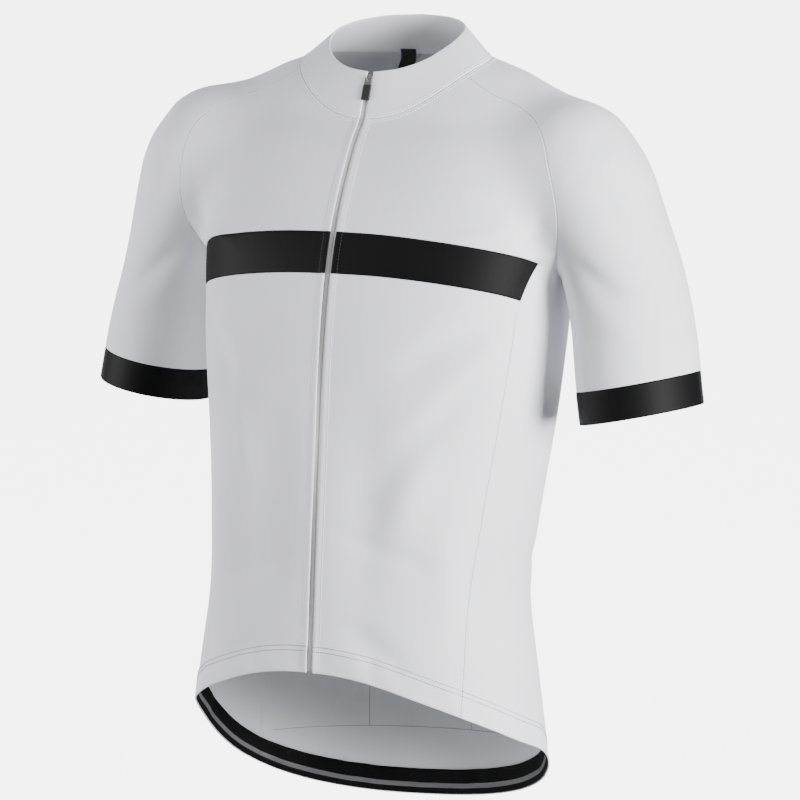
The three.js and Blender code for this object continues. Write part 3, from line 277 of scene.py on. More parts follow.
def leaves_cloth(start, direction, reach, field=figure):
    """Where rays from inside the jersey first leave its outer face."""
    t = np.arange(0, reach, float(RAY_STEP))
    at = start[..., None, :] + direction[..., None, :] * t[:, None]
    outside = field(at) > 0
    outside[..., 0] = False
    first = np.where(outside.any(-1), outside.argmax(-1), len(t) - 1)
    high = t[first]
    low = high - RAY_STEP
    for _ in range(18):
        middle = (low + high) / 2
        out = field(start + direction * middle[..., None]) > 0
        high = np.where(out, middle, high)
        low = np.where(out, low, middle)
    return start + direction * high[..., None]


def spaced(points, count):
    """Evenly spaced points along a path of points, its ends kept."""
    length = np.concatenate([[0], np.cumsum(np.linalg.norm(np.diff(points, axis=0), axis=1))])
    want = np.linspace(0, length[-1], count)
    return np.stack([np.interp(want, length, points[:, k]) for k in range(3)], -1)


def stretch(points, start, end, count=200):
    """The stretch of a path between two shares of its length."""
    fine = spaced(points, 801)
    a, b = round(min(start, end) * 800), round(max(start, end) * 800)
    part = fine[a : b + 1]
    return spaced(part if start <= end else part[::-1], count)


def share_at_height(path, z, falling=False):
    """The share of a path at which it first climbs past a height, or with falling first drops below it."""
    height = spaced(path, 801)[:, 2]
    passed = height <= z if falling else height >= z
    return passed.argmax() / 800


# Lines of the cut on that form: the neckline, the collar's free edge, the hem, the raglan and side seams and
# the chest band, as the pattern of a raglan jersey has them. Panels that meet share these lines.
NECK = {"half_width": 98, "half_depth": 69.5, "y": -9.5}
COLLAR_TOP = {"half_width": 68, "half_depth": 56, "y": -6}
COLLAR_EDGE = table("angle z", [
    (0, 9), (25, 13.5), (45, 21.5), (65, 33), (90, 46), (120, 56), (150, 62), (180, 64),
])
HEM_EDGE = table("y z", [
    (-188, -550), (-176, -565), (-150, -587), (-118, -606), (-85, -624),
    (-45, -650), (-11, -677), (20, -700), (52, -721),
])
RAGLAN_FRONT_ANGLE = 65
RAGLAN_BACK_ANGLE = 112
RAGLAN_FRONT = np.array([
    (118, -43, -8), (140, -43, -16), (162, -50, -27), (179, -63, -39), (190, -75, -54),
    (197, -82, -78), (202, -80, -107), (201, -74, -132), (195, -61, -154), (188, -42, -170),
], float)
UNDERARM = np.array([182, -12, -184], float)
RAGLAN_BACK = np.array([
    (118, 50, 6), (145, 64, -12), (172, 72, -36), (190, 70, -70),
    (199, 60, -106), (198, 46, -136), (192, 28, -159), (186, 6, -175),
], float)
SIDE_TOP_FRONT_Z = -157
SIDE_TOP_BACK_Z = -160
SIDE_SEAMS = table("z front back", [
    (-760, 48, 33), (-640, 42, 31.5), (-586, 39, 30), (-520, 34.5, 28), (-467, 31.5, 26.5), (-414, 29.5, 25),
    (-350, 28, 23.5), (-264, 24.8, 21), (-201, 21.5, 18), (-165, 15.5, 14), (-150, 13, 12),
])
SEAM_BEND = 40
BAND = {"lower_front": -178, "upper_front": -139, "lower_side": -202, "upper_side": -167, "drop": 2.7}
ZIP_OPENING = 3.1
BODY_REACH = 320
FINE = 200

hem_height = column_curve(HEM_EDGE, "y", "z")
collar_edge_z = column_curve(COLLAR_EDGE, "angle", "z")
side_front_angle = column_curve(SIDE_SEAMS, "z", "front")
side_back_angle = column_curve(SIDE_SEAMS, "z", "back")


def neck_point(angle):
    """Points of the neckline, an ellipse in plan that lies on the cloth, by angle from the centre front."""
    turn = np.radians(np.asarray(angle, float))
    x = NECK["half_width"] * np.sin(turn)
    y = NECK["y"] - NECK["half_depth"] * np.cos(turn)
    low, high = np.full_like(x, -70.0), np.full_like(x, 60.0)
    for _ in range(30):
        z = (low + high) / 2
        out = figure(np.stack([x, y, z], -1)) > 0
        high = np.where(out, z, high)
        low = np.where(out, low, z)
    return np.stack([x, y, (low + high) / 2], -1)


def collar_top_point(angle):
    """Points of the collar's free edge, by angle from the centre front."""
    turn = np.radians(np.asarray(angle, float))
    x = COLLAR_TOP["half_width"] * np.sin(turn)
    y = COLLAR_TOP["y"] - COLLAR_TOP["half_depth"] * np.cos(turn)
    return np.stack([x, y, collar_edge_z(np.abs(angle)) + 0 * x], -1)


def torso_point(angle, z):
    """Points of the body's section at heights, at angles forwards (+) or backwards (-) of the side line."""
    angle, z = np.broadcast_arrays(np.radians(np.asarray(angle, float)), np.asarray(z, float))
    front, back, power = torso_front(z), torso_back(z), 2 / torso_squareness(z)
    c, s = np.cos(angle), np.sin(angle)
    x = torso_width(z) * np.sign(c) * np.abs(c) ** power
    y = (front + back) / 2 - (back - front) / 2 * np.sign(s) * np.abs(s) ** power
    return np.stack([x, y, z], -1)


def hem_point(angle_at):
    """Points of the hem edge below lines down the body whose angles may change with height."""
    z = np.asarray(-640.0)
    for _ in range(30):
        z = hem_height(torso_point(angle_at(z), z)[..., 1])
    return torso_point(angle_at(z), z)


def angle_across(x, z):
    """The angle at which the body's section is a given distance from the middle line."""
    share = np.clip((x / torso_width(z)) ** (torso_squareness(z) / 2), 0, 1)
    return 90 - np.degrees(np.arcsin(share))


def zip_angle(z):
    """The angle of the front edge beside the zip."""
    return angle_across(ZIP_OPENING, z)


neck_zip_angle = math.degrees(math.asin(ZIP_OPENING / NECK["half_width"]))
hem_at_zip = hem_point(zip_angle)
neck_at_zip = neck_point(neck_zip_angle)
edge_z = np.linspace(hem_at_zip[2], neck_at_zip[2], FINE)
front_edge = onto_cloth(torso_point(zip_angle(edge_z), edge_z))
front_edge[-1] = neck_at_zip


def through(points, count=FINE):
    """A smooth path through points, with their chords' square roots as its measure."""
    chord = np.linalg.norm(np.diff(points, axis=0), axis=1) ** 0.5
    knots = {"t": np.concatenate([[0], np.cumsum(chord)])}
    knots.update({axis: points[:, k] for k, axis in enumerate("xyz")})
    at = np.linspace(0, knots["t"][-1], count)
    return np.stack([column_curve(knots, "t", axis)(at) for axis in "xyz"], -1)


def raglan(rows, neck_angle):
    """A raglan seam, on the cloth from the neckline to the underarm."""
    points = np.vstack([neck_point(neck_angle), onto_cloth(np.vstack([rows, UNDERARM]))])
    path = onto_cloth(through(points))
    path[0] = points[0]
    return spaced(path, FINE)


raglan_front = raglan(RAGLAN_FRONT, RAGLAN_FRONT_ANGLE)
raglan_back = raglan(RAGLAN_BACK, RAGLAN_BACK_ANGLE)
side_front_share = share_at_height(raglan_front, SIDE_TOP_FRONT_Z, True)
side_back_share = share_at_height(raglan_back, SIDE_TOP_BACK_Z, True)


def side_seam(raglan_path, share, angle_at, sign):
    """A side panel's seam, from the hem up to the raglan, which it meets in a short bend."""
    top = stretch(raglan_path, 0, share)[-1]
    bottom = hem_point(lambda z: sign * angle_at(z))
    z = np.linspace(bottom[2], top[2], FINE)
    near = np.clip((z - (top[2] - SEAM_BEND)) / SEAM_BEND, 0, 1)[:, None] ** 2
    offset = top - torso_point(sign * angle_at(top[2]), top[2])
    path = onto_cloth(torso_point(sign * angle_at(z), z) + near * offset)
    path[0], path[-1] = bottom, top
    return spaced(path, FINE)


side_front = side_seam(raglan_front, side_front_share, side_front_angle, 1)
side_back = side_seam(raglan_back, side_back_share, side_back_angle, -1)


def front_line(zip_z, side_share):
    """A line across the front, level by the zip and dropping towards the side seam."""
    start = stretch(front_edge, 0, share_at_height(front_edge, zip_z))[-1]
    end = stretch(side_front, 0, side_share)[-1]
    t = np.linspace(0, 1, FINE)

    def middle(z):
        return (torso_front(z) + torso_back(z)) / 2

    bearing = [np.arctan2(middle(p[2]) - p[1], p[0]) for p in (start, end)]
    z = start[2] + (end[2] - start[2]) * t ** BAND["drop"]
    turn = bearing[0] + (bearing[1] - bearing[0]) * t
    centre = np.stack([0 * z, middle(z), z], -1)
    ray = np.stack([np.cos(turn), -np.sin(turn), 0 * z], -1)
    path = leaves_cloth(centre, ray, BODY_REACH)
    path[0], path[-1] = start, end
    return path


band_lower_share = share_at_height(side_front, BAND["lower_side"])
band_upper_share = share_at_height(side_front, BAND["upper_side"])
band_lower = front_line(BAND["lower_front"], band_lower_share)
band_upper = front_line(BAND["upper_front"], band_upper_share)


def hem_path(from_angle, to_angle):
    """The hem edge between two lines down the body."""
    t = np.linspace(0, 1, FINE)
    return hem_point(lambda z: from_angle(z) + (to_angle(z) - from_angle(z)) * t)


# Folds of the worn cloth: soft troughs and ridges placed where the photo shows them, with like ones
# on the hidden sides. Each runs from one point to another and fades out at both ends.
FOLDS = table("x0 y0 z0 x1 y1 z1 width height", [
    # from the armpits across the chest and down the front, towards the waist
    (176, -88, -112, 112, -134, -98, 10, -4.0),
    (180, -82, -134, 104, -140, -142, 8, 2.7),
    (165, -100, -212, 76, -164, -268, 15, -6.1),
    (160, -105, -240, 84, -162, -318, 12, 3.6),
    (150, -118, -262, 60, -174, -372, 18, -4.3),
    (-168, -92, -116, -110, -132, -100, 11, -3.6),
    (-176, -84, -142, -104, -144, -156, 8, 2.5),
    (-160, -100, -212, -92, -160, -300, 15, -5.4),
    (-104, -158, -268, -84, -170, -372, 12, 4.0),
    # long hollows beside the zip and over the waist
    (48, -168, -296, 52, -184, -500, 24, -6.1),
    (104, -146, -330, 78, -170, -420, 18, 4.7),
    (-50, -166, -300, -56, -182, -480, 26, -6.5),
    (-112, -134, -340, -122, -142, -500, 22, 3.6),
    (34, -180, -505, 92, -170, -548, 15, -4.3),
    (-30, -180, -520, -104, -160, -548, 14, -2.9),
    (118, -138, -400, 124, -146, -520, 20, 3.6),
    (24, -178, -418, 116, -152, -452, 9, -2.0),
    (-22, -178, -444, -108, -152, -470, 10, -1.8),
    # creases of the side panels under the arms and at the waist
    (168, -58, -190, 150, -92, -240, 7, 2.7),
    (166, -40, -196, 158, -70, -262, 7, -3.2),
    (-168, -58, -194, -150, -92, -246, 7, 2.4),
    (-166, -40, -200, -158, -70, -268, 7, -3.0),
    (150, -60, -440, 160, 10, -462, 9, -2.4),
    (154, -70, -478, 158, -10, -488, 8, -1.8),
    (-150, -60, -436, -160, 8, -456, 9, -2.3),
    (-154, -72, -482, -158, -14, -494, 8, -1.6),
    # the back, from the shoulder blades down to the waist
    (60, 98, -230, 30, 70, -420, 18, -4.1),
    (-58, 98, -240, -34, 70, -430, 19, -3.8),
    (120, 70, -330, 60, 60, -430, 12, -2.7),
    (-118, 70, -336, -64, 58, -440, 13, -2.4),
    (20, 62, -455, 110, 36, -452, 8, -2.2),
    (-16, 60, -463, -112, 34, -458, 9, -2.0),
    (36, 64, -438, 96, 44, -436, 7, 1.6),
    (150, 66, -150, 100, 96, -190, 12, -3.2),
    (-150, 66, -154, -98, 96, -196, 13, -3.0),
    # the sleeves, from the underarm round and over the arm
    (204, -66, -156, 262, -72, -196, 10, -3.8),
    (208, -60, -186, 276, -66, -232, 10, 2.4),
    (214, -58, -222, 284, -60, -262, 11, -2.6),
    (200, 46, -150, 262, 52, -206, 11, -3.5),
    (210, 44, -196, 280, 42, -244, 11, 2.3),
    (-204, -66, -162, -264, -72, -204, 10, -3.6),
    (-210, -60, -194, -278, -66, -240, 10, 2.3),
    (-214, -56, -226, -282, -60, -270, 10, -2.2),
    (-202, 46, -154, -260, 52, -212, 11, -3.4),
    (236, -70, -84, 268, -50, -150, 14, -2.2),
    (-234, -70, -88, -268, -50, -156, 13, -2.0),
])
FOLD_FADE = {"start": 0.07, "span": 0.86}
SWAY = {"height": 0.9, "across": 61.0, "up": 83.0}
# The front edges are turned under beside the zip, and stand a little proud there, up to their stitching.
TURNED_EDGE = {"height": 0.9, "middle": 4.8, "half_width": 3.0, "front_y": -30}
# The turned-up hem is a little thicker, and puckers faintly along its stitching.
HEM_TURN = {"depth": 27.0, "height": 0.6, "pucker": 0.75, "wave": 15.0, "middle_y": -70, "rise": 12}


def faded(value, low, high):
    """A smooth step from 0 at low to 1 at high."""
    t = np.clip((value - low) / (high - low), 0, 1)
    return t * t * (3 - 2 * t)


def relief(p):
    """How far the worn cloth stands off its form, from its folds and a faint sway of the whole."""
    start = np.stack([FOLDS[c] for c in ("x0", "y0", "z0")], -1)
    run = np.stack([FOLDS[c] for c in ("x1", "y1", "z1")], -1) - start
    height = SWAY["height"] * np.sin(p[..., 0] / SWAY["across"] * 2 + 1) * np.sin(p[..., 2] / SWAY["up"] * 2)
    for k in range(len(start)):
        t = ((p - start[k]) @ run[k]) / (run[k] @ run[k])
        near = np.clip(t, 0, 1)
        away = np.linalg.norm(p - start[k] - near[..., None] * run[k], axis=-1)
        fade = np.sin(np.pi * np.clip(near * FOLD_FADE["span"] + FOLD_FADE["start"], 0, 1))
        height = height + FOLDS["height"][k] * fade * np.exp(-((away / FOLDS["width"][k]) ** 2))
    beside = (np.abs(p[..., 0]) - TURNED_EDGE["middle"]) / TURNED_EDGE["half_width"]
    edge = TURNED_EDGE["height"] * np.exp(-(beside**6)) * (p[..., 1] < TURNED_EDGE["front_y"])
    over_hem = p[..., 2] - hem_height(p[..., 1])
    turned = 1 - faded(over_hem, HEM_TURN["depth"] - 1, HEM_TURN["depth"] + 1)
    bearing = np.arctan2(p[..., 1] - HEM_TURN["middle_y"], p[..., 0]) * 180 / HEM_TURN["wave"]
    pucker = HEM_TURN["pucker"] * np.sin(bearing * np.pi / 2 + np.sin(bearing)) * turned
    body = sleeve_distance(p) > 0
    hem = HEM_TURN["height"] * turned + pucker * faded(over_hem, 0, HEM_TURN["rise"])
    return height + edge + hem * body


# As worn, the shoulder on one side rides a little higher and the dropped tail hangs a little lower there.
SHOULDER_LEAN = {"slope": -0.027, "none": -210, "full": -70}
TAIL_LEAN = {"slope": 0.065, "none": -440, "full": -640, "front_y": -110, "back_y": -30}


def settled(p):
    """Points where the worn garment's lean puts them."""
    x, y, z = p[..., 0], p[..., 1], p[..., 2]
    shoulder = SHOULDER_LEAN["slope"] * faded(z, SHOULDER_LEAN["none"], SHOULDER_LEAN["full"])
    low = 1 - faded(z, TAIL_LEAN["full"], TAIL_LEAN["none"])
    tail = TAIL_LEAN["slope"] * low * faded(y, TAIL_LEAN["front_y"], TAIL_LEAN["back_y"])
    return np.stack([x, y, z + x * (shoulder + tail)], -1)


# Panels: each is a grid blended from its four edges, pulled onto the form and evened. The grid is then made
# finer by smooth curves through it, with extra rows close to the seams, where the cloth rolls in.
CELLS = {
    "front": 12, "lower": 16, "band": 2, "under_band_end": 1,
    "raglan": 13, "underarm": 4, "back": 12, "sleeve": 24,
}
EVENING_ROUNDS = 20
EVENING_SHARE = 0.6
FINER = 5
SEAM_ROWS = np.array([0.025, 0.07, 0.14])
SEAM_DIPS = np.array([0.55, 0.28, 0.1, 0.02])


def evened(grid, field=figure, from_row=1):
    """Evens out the inside points of a grid on the cloth and leaves its edges where they are."""
    for _ in range(EVENING_ROUNDS):
        inside = grid[from_row:-1, 1:-1]
        around = grid[from_row:-1, :-2] + grid[from_row:-1, 2:]
        around = around + grid[from_row - 1 : -2, 1:-1] + grid[from_row + 1 :, 1:-1]
        grid = grid.copy()
        moved = around / 4 * EVENING_SHARE + inside * (1 - EVENING_SHARE)
        grid[from_row:-1, 1:-1] = onto_cloth(moved, field, 3)
    return grid


def panel_grid(bottom, top, left, right):
    """A grid over a panel from its edges. Rows run from bottom to top and columns from left to right."""
    u = np.linspace(0, 1, len(bottom))[None, :, None]
    v = np.linspace(0, 1, len(left))[:, None, None]
    grid = bottom[None] * (1 - v) + top[None] * v + left[:, None] * (1 - u) + right[:, None] * u
    grid = grid - bottom[0] * (1 - u) * (1 - v) - bottom[-1] * u * (1 - v)
    grid = grid - top[0] * (1 - u) * v - top[-1] * u * v
    grid = onto_cloth(grid, steps=12)
    grid[0], grid[-1], grid[:, 0], grid[:, -1] = bottom, top, left, right
    return evened(grid)


def finer_places(cells):
    """Places along a grid of cells, in cells: evenly spaced, with more near both ends."""
    even = np.linspace(0, cells, cells * FINER + 1)
    inside = even[(even > SEAM_ROWS[-1]) & (even < cells - SEAM_ROWS[-1])]
    return np.concatenate([[0], SEAM_ROWS, inside, cells - SEAM_ROWS[::-1], [cells]])


def along_rows(grid, places):
    """A grid taken at places along its first axis, on smooth curves through its points."""
    slope = np.gradient(grid, axis=0)
    i = np.clip(places.astype(int), 0, len(grid) - 2)
    s = (places - i)[:, None, None]
    rest = 1 - s
    ends = rest**2 * (1 + 2 * s) * grid[i] + s**2 * (3 - 2 * s) * grid[i + 1]
    return ends + s * rest * (rest * slope[i] - s * slope[i + 1])


def made_finer(grid):
    """A finer grid through a grid's points."""
    grid = along_rows(grid, finer_places(len(grid) - 1))
    grid = along_rows(grid.swapaxes(0, 1), finer_places(grid.shape[1] - 1))
    return grid.swapaxes(0, 1)


def seam_dip(rows, columns):
    """How far a panel's outer face rolls in at its edges."""
    dips = []
    for count in (rows, columns):
        dip = np.zeros(count)
        dip[: len(SEAM_DIPS)] = SEAM_DIPS
        dip[-len(SEAM_DIPS) :] = SEAM_DIPS[::-1]
        dips.append(dip)
    return np.maximum(dips[0][:, None], dips[1][None, :])


def drawn_in(grid):
    """A grid with its edges drawn in by half the seam gap, square to each edge."""
    drawn = grid.copy()

    def pull(edge, inner):
        along = unit(np.gradient(edge, axis=0))
        way = inner - edge
        way = way - along * (way * along).sum(-1, keepdims=True)
        return unit(way) * SEAM_GAP / 2

    drawn[:, 0] += pull(grid[:, 0], grid[:, 1])
    drawn[:, -1] += pull(grid[:, -1], grid[:, -2])
    drawn[0] += pull(grid[0], grid[1])
    drawn[-1] += pull(grid[-1], grid[-2])
    return drawn


def wall_faces(rows, columns, flip=False):
    """Faces of a closed wall between an outer grid and an inner one that follows it."""
    outer = np.arange(rows * columns).reshape(rows, columns)
    inner = outer + rows * columns
    quads = [
        np.stack([outer[:-1, :-1], outer[:-1, 1:], outer[1:, 1:], outer[1:, :-1]], -1).reshape(-1, 4),
        np.stack([inner[:-1, :-1], inner[1:, :-1], inner[1:, 1:], inner[:-1, 1:]], -1).reshape(-1, 4),
        np.stack([outer[0, 1:], outer[0, :-1], inner[0, :-1], inner[0, 1:]], -1),
        np.stack([outer[-1, :-1], outer[-1, 1:], inner[-1, 1:], inner[-1, :-1]], -1),
        np.stack([outer[:-1, 0], outer[1:, 0], inner[1:, 0], inner[:-1, 0]], -1),
        np.stack([outer[1:, -1], outer[:-1, -1], inner[:-1, -1], inner[1:, -1]], -1),
    ]
    faces = np.vstack(quads)
    return faces[:, ::-1] if flip else faces


def add_mesh(name, points, faces, material, nodes=()):
    """A smooth-shaded piece from points in millimetres, riding with the jersey and standing for CAD nodes."""
    mesh = bpy.data.meshes.new(name)
    mesh.from_pydata((points.reshape(-1, 3) * MM).tolist(), [], faces)
    mesh.polygons.foreach_set("use_smooth", np.ones(len(mesh.polygons), bool))
    mesh.materials.append(material)
    mesh.update()
    piece = bpy.data.objects.new(name, mesh)
    bpy.context.scene.collection.objects.link(piece)
    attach(piece, "jersey")
    if nodes:
        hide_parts(*nodes)
    return piece


def add_wall(name, outer, inner, material, slot, nodes=(), flip=False):
    """A closed cloth wall between two grids, where the worn garment's lean puts it."""
    points = settled(np.stack([outer, inner]))
    faces = wall_faces(*outer.shape[:2], flip).tolist()
    return add_mesh(name, points, faces, material, nodes)


def mirrored(grid):
    """The grid's twin on the other side of the middle line."""
    return grid * np.array([-1, 1, 1])


SIDES = {"left": lambda grid: grid, "right": mirrored}

# Cloth of the panels, sleeves and pockets: white knitted polyester with a fine vertical rib, matt, with a
# faint sheen. The collar is a denser knit of the same yarn.
def fabric(name, dark, light, roughness, sheen, rib_mm, rib_height, specular=0.5):
    """A knit: soft mottling of two near colours, and a fine rib and grain raised by a bump."""
    material = bpy.data.materials.new(name)
    material.use_nodes = True
    nodes, links = material.node_tree.nodes, material.node_tree.links
    shader = nodes["Principled BSDF"]
    place = nodes.new("ShaderNodeTexCoord")
    mottle = nodes.new("ShaderNodeTexNoise")
    mottle.inputs["Scale"].default_value = 9
    mottle.inputs["Detail"].default_value = 6
    links.new(place.outputs["Object"], mottle.inputs["Vector"])
    mix = nodes.new("ShaderNodeValToRGB")
    mix.color_ramp.elements[0].position = 0.35
    mix.color_ramp.elements[0].color = (*dark, 1)
    mix.color_ramp.elements[1].position = 0.65
    mix.color_ramp.elements[1].color = (*light, 1)
    links.new(mottle.outputs["Fac"], mix.inputs["Fac"])
    links.new(mix.outputs["Color"], shader.inputs["Base Color"])
    rib = nodes.new("ShaderNodeTexVoronoi")
    rib.inputs["Scale"].default_value = 1 / (rib_mm * MM)
    stretched = nodes.new("ShaderNodeMapping")
    stretched.inputs["Scale"].default_value = (1, 1, 0.55)
    links.new(place.outputs["Object"], stretched.inputs["Vector"])
    links.new(stretched.outputs["Vector"], rib.inputs["Vector"])
    bump = nodes.new("ShaderNodeBump")
    bump.inputs["Strength"].default_value = 0.35
    bump.inputs["Distance"].default_value = rib_height * MM
    links.new(rib.outputs["Distance"], bump.inputs["Height"])
    links.new(bump.outputs["Normal"], shader.inputs["Normal"])
    shader.inputs["Roughness"].default_value = roughness
    shader.inputs["Sheen Weight"].default_value = sheen
    shader.inputs["Sheen Roughness"].default_value = 0.45
    shader.inputs["Specular IOR Level"].default_value = specular
    return material


white_cloth = fabric("white_knit", (0.74, 0.74, 0.78), (0.79, 0.79, 0.83), 0.78, 0.15, 1.1, 0.18)
collar_cloth = fabric("collar_knit", (0.78, 0.78, 0.82), (0.82, 0.82, 0.86), 0.74, 0.12, 0.9, 0.15)
BLACKS = (0.0015, 0.0015, 0.0018), (0.003, 0.003, 0.0034)
black_cloth = fabric("black_knit", *BLACKS, 0.62, 0.0, 1.0, 0.18, 0.12)


def cells(path, start, end, count):
    """The points that part a stretch of a path into cells."""
    return spaced(stretch(path, start, end), count + 1)


def joined(*parts):
    """Paths end to end, their shared points once."""
    return np.vstack([part if i == 0 else part[1:] for i, part in enumerate(parts)])


side_lower = cells(side_front, 0, band_lower_share, CELLS["lower"])
side_band = cells(side_front, band_lower_share, band_upper_share, CELLS["band"])
side_top = cells(side_front, band_upper_share, 1, CELLS["under_band_end"])
raglan_front_long = cells(raglan_front, 0, side_front_share, CELLS["raglan"])
raglan_front_short = cells(raglan_front, side_front_share, 1, CELLS["underarm"])
raglan_back_long = cells(raglan_back, 0, side_back_share, CELLS["raglan"])
raglan_back_short = cells(raglan_back, side_back_share, 1, CELLS["underarm"])
side_back_cells = cells(side_back, 0, 1, CELLS["lower"] + CELLS["band"] + CELLS["under_band_end"])


def neck_stretch(start, end, count):
    """Even points of the neckline between two angles."""
    return spaced(neck_point(np.linspace(start, end, FINE)), count + 1)


neck_front = neck_stretch(neck_zip_angle, RAGLAN_FRONT_ANGLE, CELLS["front"])
neck_side = neck_stretch(RAGLAN_FRONT_ANGLE, RAGLAN_BACK_ANGLE, CELLS["sleeve"])
neck_back = neck_stretch(RAGLAN_BACK_ANGLE, 180, CELLS["back"])
band_lower_cells = cells(band_lower, 0, 1, CELLS["front"])
band_upper_cells = cells(band_upper, 0, 1, CELLS["front"])


def collar_normal(angle):
    """The way the collar's outer face points, by angle from the centre front."""
    angle = np.asarray(angle, float)
    across = neck_point(angle + 1) - neck_point(angle - 1)
    return unit(np.cross(across, collar_top_point(angle) - neck_point(angle)))


def neck_angle(p):
    """The angle round from the centre front at which a point of the neckline lies."""
    x, y = p[..., 0] / NECK["half_width"], (NECK["y"] - p[..., 1]) / NECK["half_depth"]
    return np.degrees(np.arctan2(x, y))


def neck_normal(p):
    """The direction that body and collar share along the neckline."""
    return unit(unit(gradient(p)) + collar_normal(neck_angle(p)))


def outward(grid, field=figure, at_neck=False):
    """Directions out of the cloth at a grid's points, turning to the shared one at the neckline."""
    normals = unit(gradient(grid, field))
    if at_neck:
        for k, share in enumerate((1, 0.9, 0.75, 0.5, 0.2)):
            row = grid.shape[0] - 1 - k
            normals[row] = unit(normals[row] * (1 - share) + neck_normal(grid[row]) * share)
    return normals


def cloth_wall(flat, normals, thickness=CLOTH, folds=True):
    """Outer and inner grids of a panel: its relief, and its outer face rolled in at its edges."""
    lift = relief(flat)[..., None] if folds else 0
    dip = seam_dip(*flat.shape[:2])[..., None]
    return flat + normals * (lift - dip), flat + normals * (lift - thickness)


def add_pair(name, flat, normals, material, slot, thickness=CLOTH, folds=True):
    """A pair of pieces, the left one from its grid and the right one its mirror twin."""
    made = {}
    for side, turned in SIDES.items():
        out = turned(normals)
        outer, inner = cloth_wall(turned(flat), out, thickness, folds)
        node = f"{name}_{side}"
        piece = add_wall(f"cloth_{node}", outer, inner, material, slot, [node], side == "right")
        made[side] = (outer, out)
    return made


def add_panel(name, grid, material, slot, at_neck=False):
    """A pair of panels on the body, from a grid of cells."""
    fine = made_finer(grid)
    return add_pair(name, drawn_in(fine), outward(fine, figure, at_neck), material, slot)


# Front: below the chest band, the band itself and the chest above it, on each side of the zip. The band is
# a strip of black knit let in between the two white ones.
zip_lower_share = share_at_height(front_edge, BAND["lower_front"])
zip_upper_share = share_at_height(front_edge, BAND["upper_front"])
lower_front = panel_grid(
    spaced(hem_path(zip_angle, side_front_angle), CELLS["front"] + 1),
    band_lower_cells,
    cells(front_edge, 0, zip_lower_share, CELLS["lower"]),
    side_lower,
)
band = panel_grid(
    band_lower_cells,
    band_upper_cells,
    cells(front_edge, zip_lower_share, zip_upper_share, CELLS["band"]),
    side_band,
)
chest = panel_grid(
    band_upper_cells,
    neck_front,
    cells(front_edge, zip_upper_share, 1, CELLS["under_band_end"] + CELLS["raglan"]),
    joined(side_top, raglan_front_long[::-1]),
)
front_faces = add_panel("front_lower", lower_front, white_cloth, "white_cloth")
band_faces = add_panel("chest_band", band, black_cloth, "black_cloth")
chest_faces = add_panel("front_chest", chest, white_cloth, "white_cloth", at_neck=True)

# Side panels, of the same white knit, from the hem up to the underarm.
side_grid = panel_grid(
    spaced(hem_path(side_front_angle, lambda z: -side_back_angle(z)), 2 * CELLS["underarm"] + 1),
    joined(raglan_front_short, raglan_back_short[::-1]),
    joined(side_lower, side_band, side_top),
    side_back_cells,
)
side_faces = add_panel("side_panel", side_grid, white_cloth, "white_cloth")

# Back: one panel of white knit from side seam to side seam, with a dropped tail.
back_edge = joined(side_back_cells, raglan_back_long[::-1])
hem_back = spaced(hem_path(lambda z: -90 + 0 * z, lambda z: -side_back_angle(z)), CELLS["back"] + 1)
middle_back = torso_point(-90, np.linspace(hem_back[0][2], neck_point(180.0)[2], FINE))
back_half = panel_grid(hem_back, neck_back[::-1], spaced(middle_back, len(back_edge)), back_edge)
back_grid = np.concatenate([back_half[:, ::-1], mirrored(back_half)[:, 1:]], 1)
back_fine = made_finer(back_grid)
back_normals = outward(back_fine, at_neck=True)
back_outer, back_inner = cloth_wall(drawn_in(back_fine), back_normals)
back_panel = add_wall("cloth_back_panel", back_outer, back_inner, white_cloth, "white_cloth", ["back_panel"])

# Sleeves: raglan sleeves of white knit that run up to the collar, sewn round the arm along the underarm.
# Rows fan over the shoulder between the raglan seams, then run round the arm down to the cuff seam.
SHOULDER_RIDGE = table("share x y z", [
    (0, 98, -9, 20), (0.2, 142, -9, 8), (0.4, 196, -12, -12), (0.55, 246, -15, -45),
    (0.7, 279, -13, -104), (0.85, 291, -10, -143), (1, 295, -9, -160),
])
SLEEVE_CORE = table("share x y z", [
    (0, 88, -9, -42), (0.4, 144, -9, -66), (0.55, 180, -11, -88),
    (0.7, 215, -12, -122), (0.85, 233, -10, -153), (1, 240, -9, -171.5),
])
CUFF_SEAM = np.array([259.5, -18.5, -279])
CUFF_TILT = math.radians(11.5)
CUFF_WIDTH = 31
UNDERARM_SPREAD = 14
LEAN_POWER = 1.6
ARM_ROWS = 6
SHOULDER_REACH = 200
ARM_REACH = 120
BELOW_ARMPIT = 12
BACKWARDS = np.array([0.0, 1.0, 0.0])


def table_point(rows, share):
    """The point of a line given as a table, at a share of it."""
    return np.stack([column_curve(rows, "share", axis)(share) for axis in "xyz"], -1)


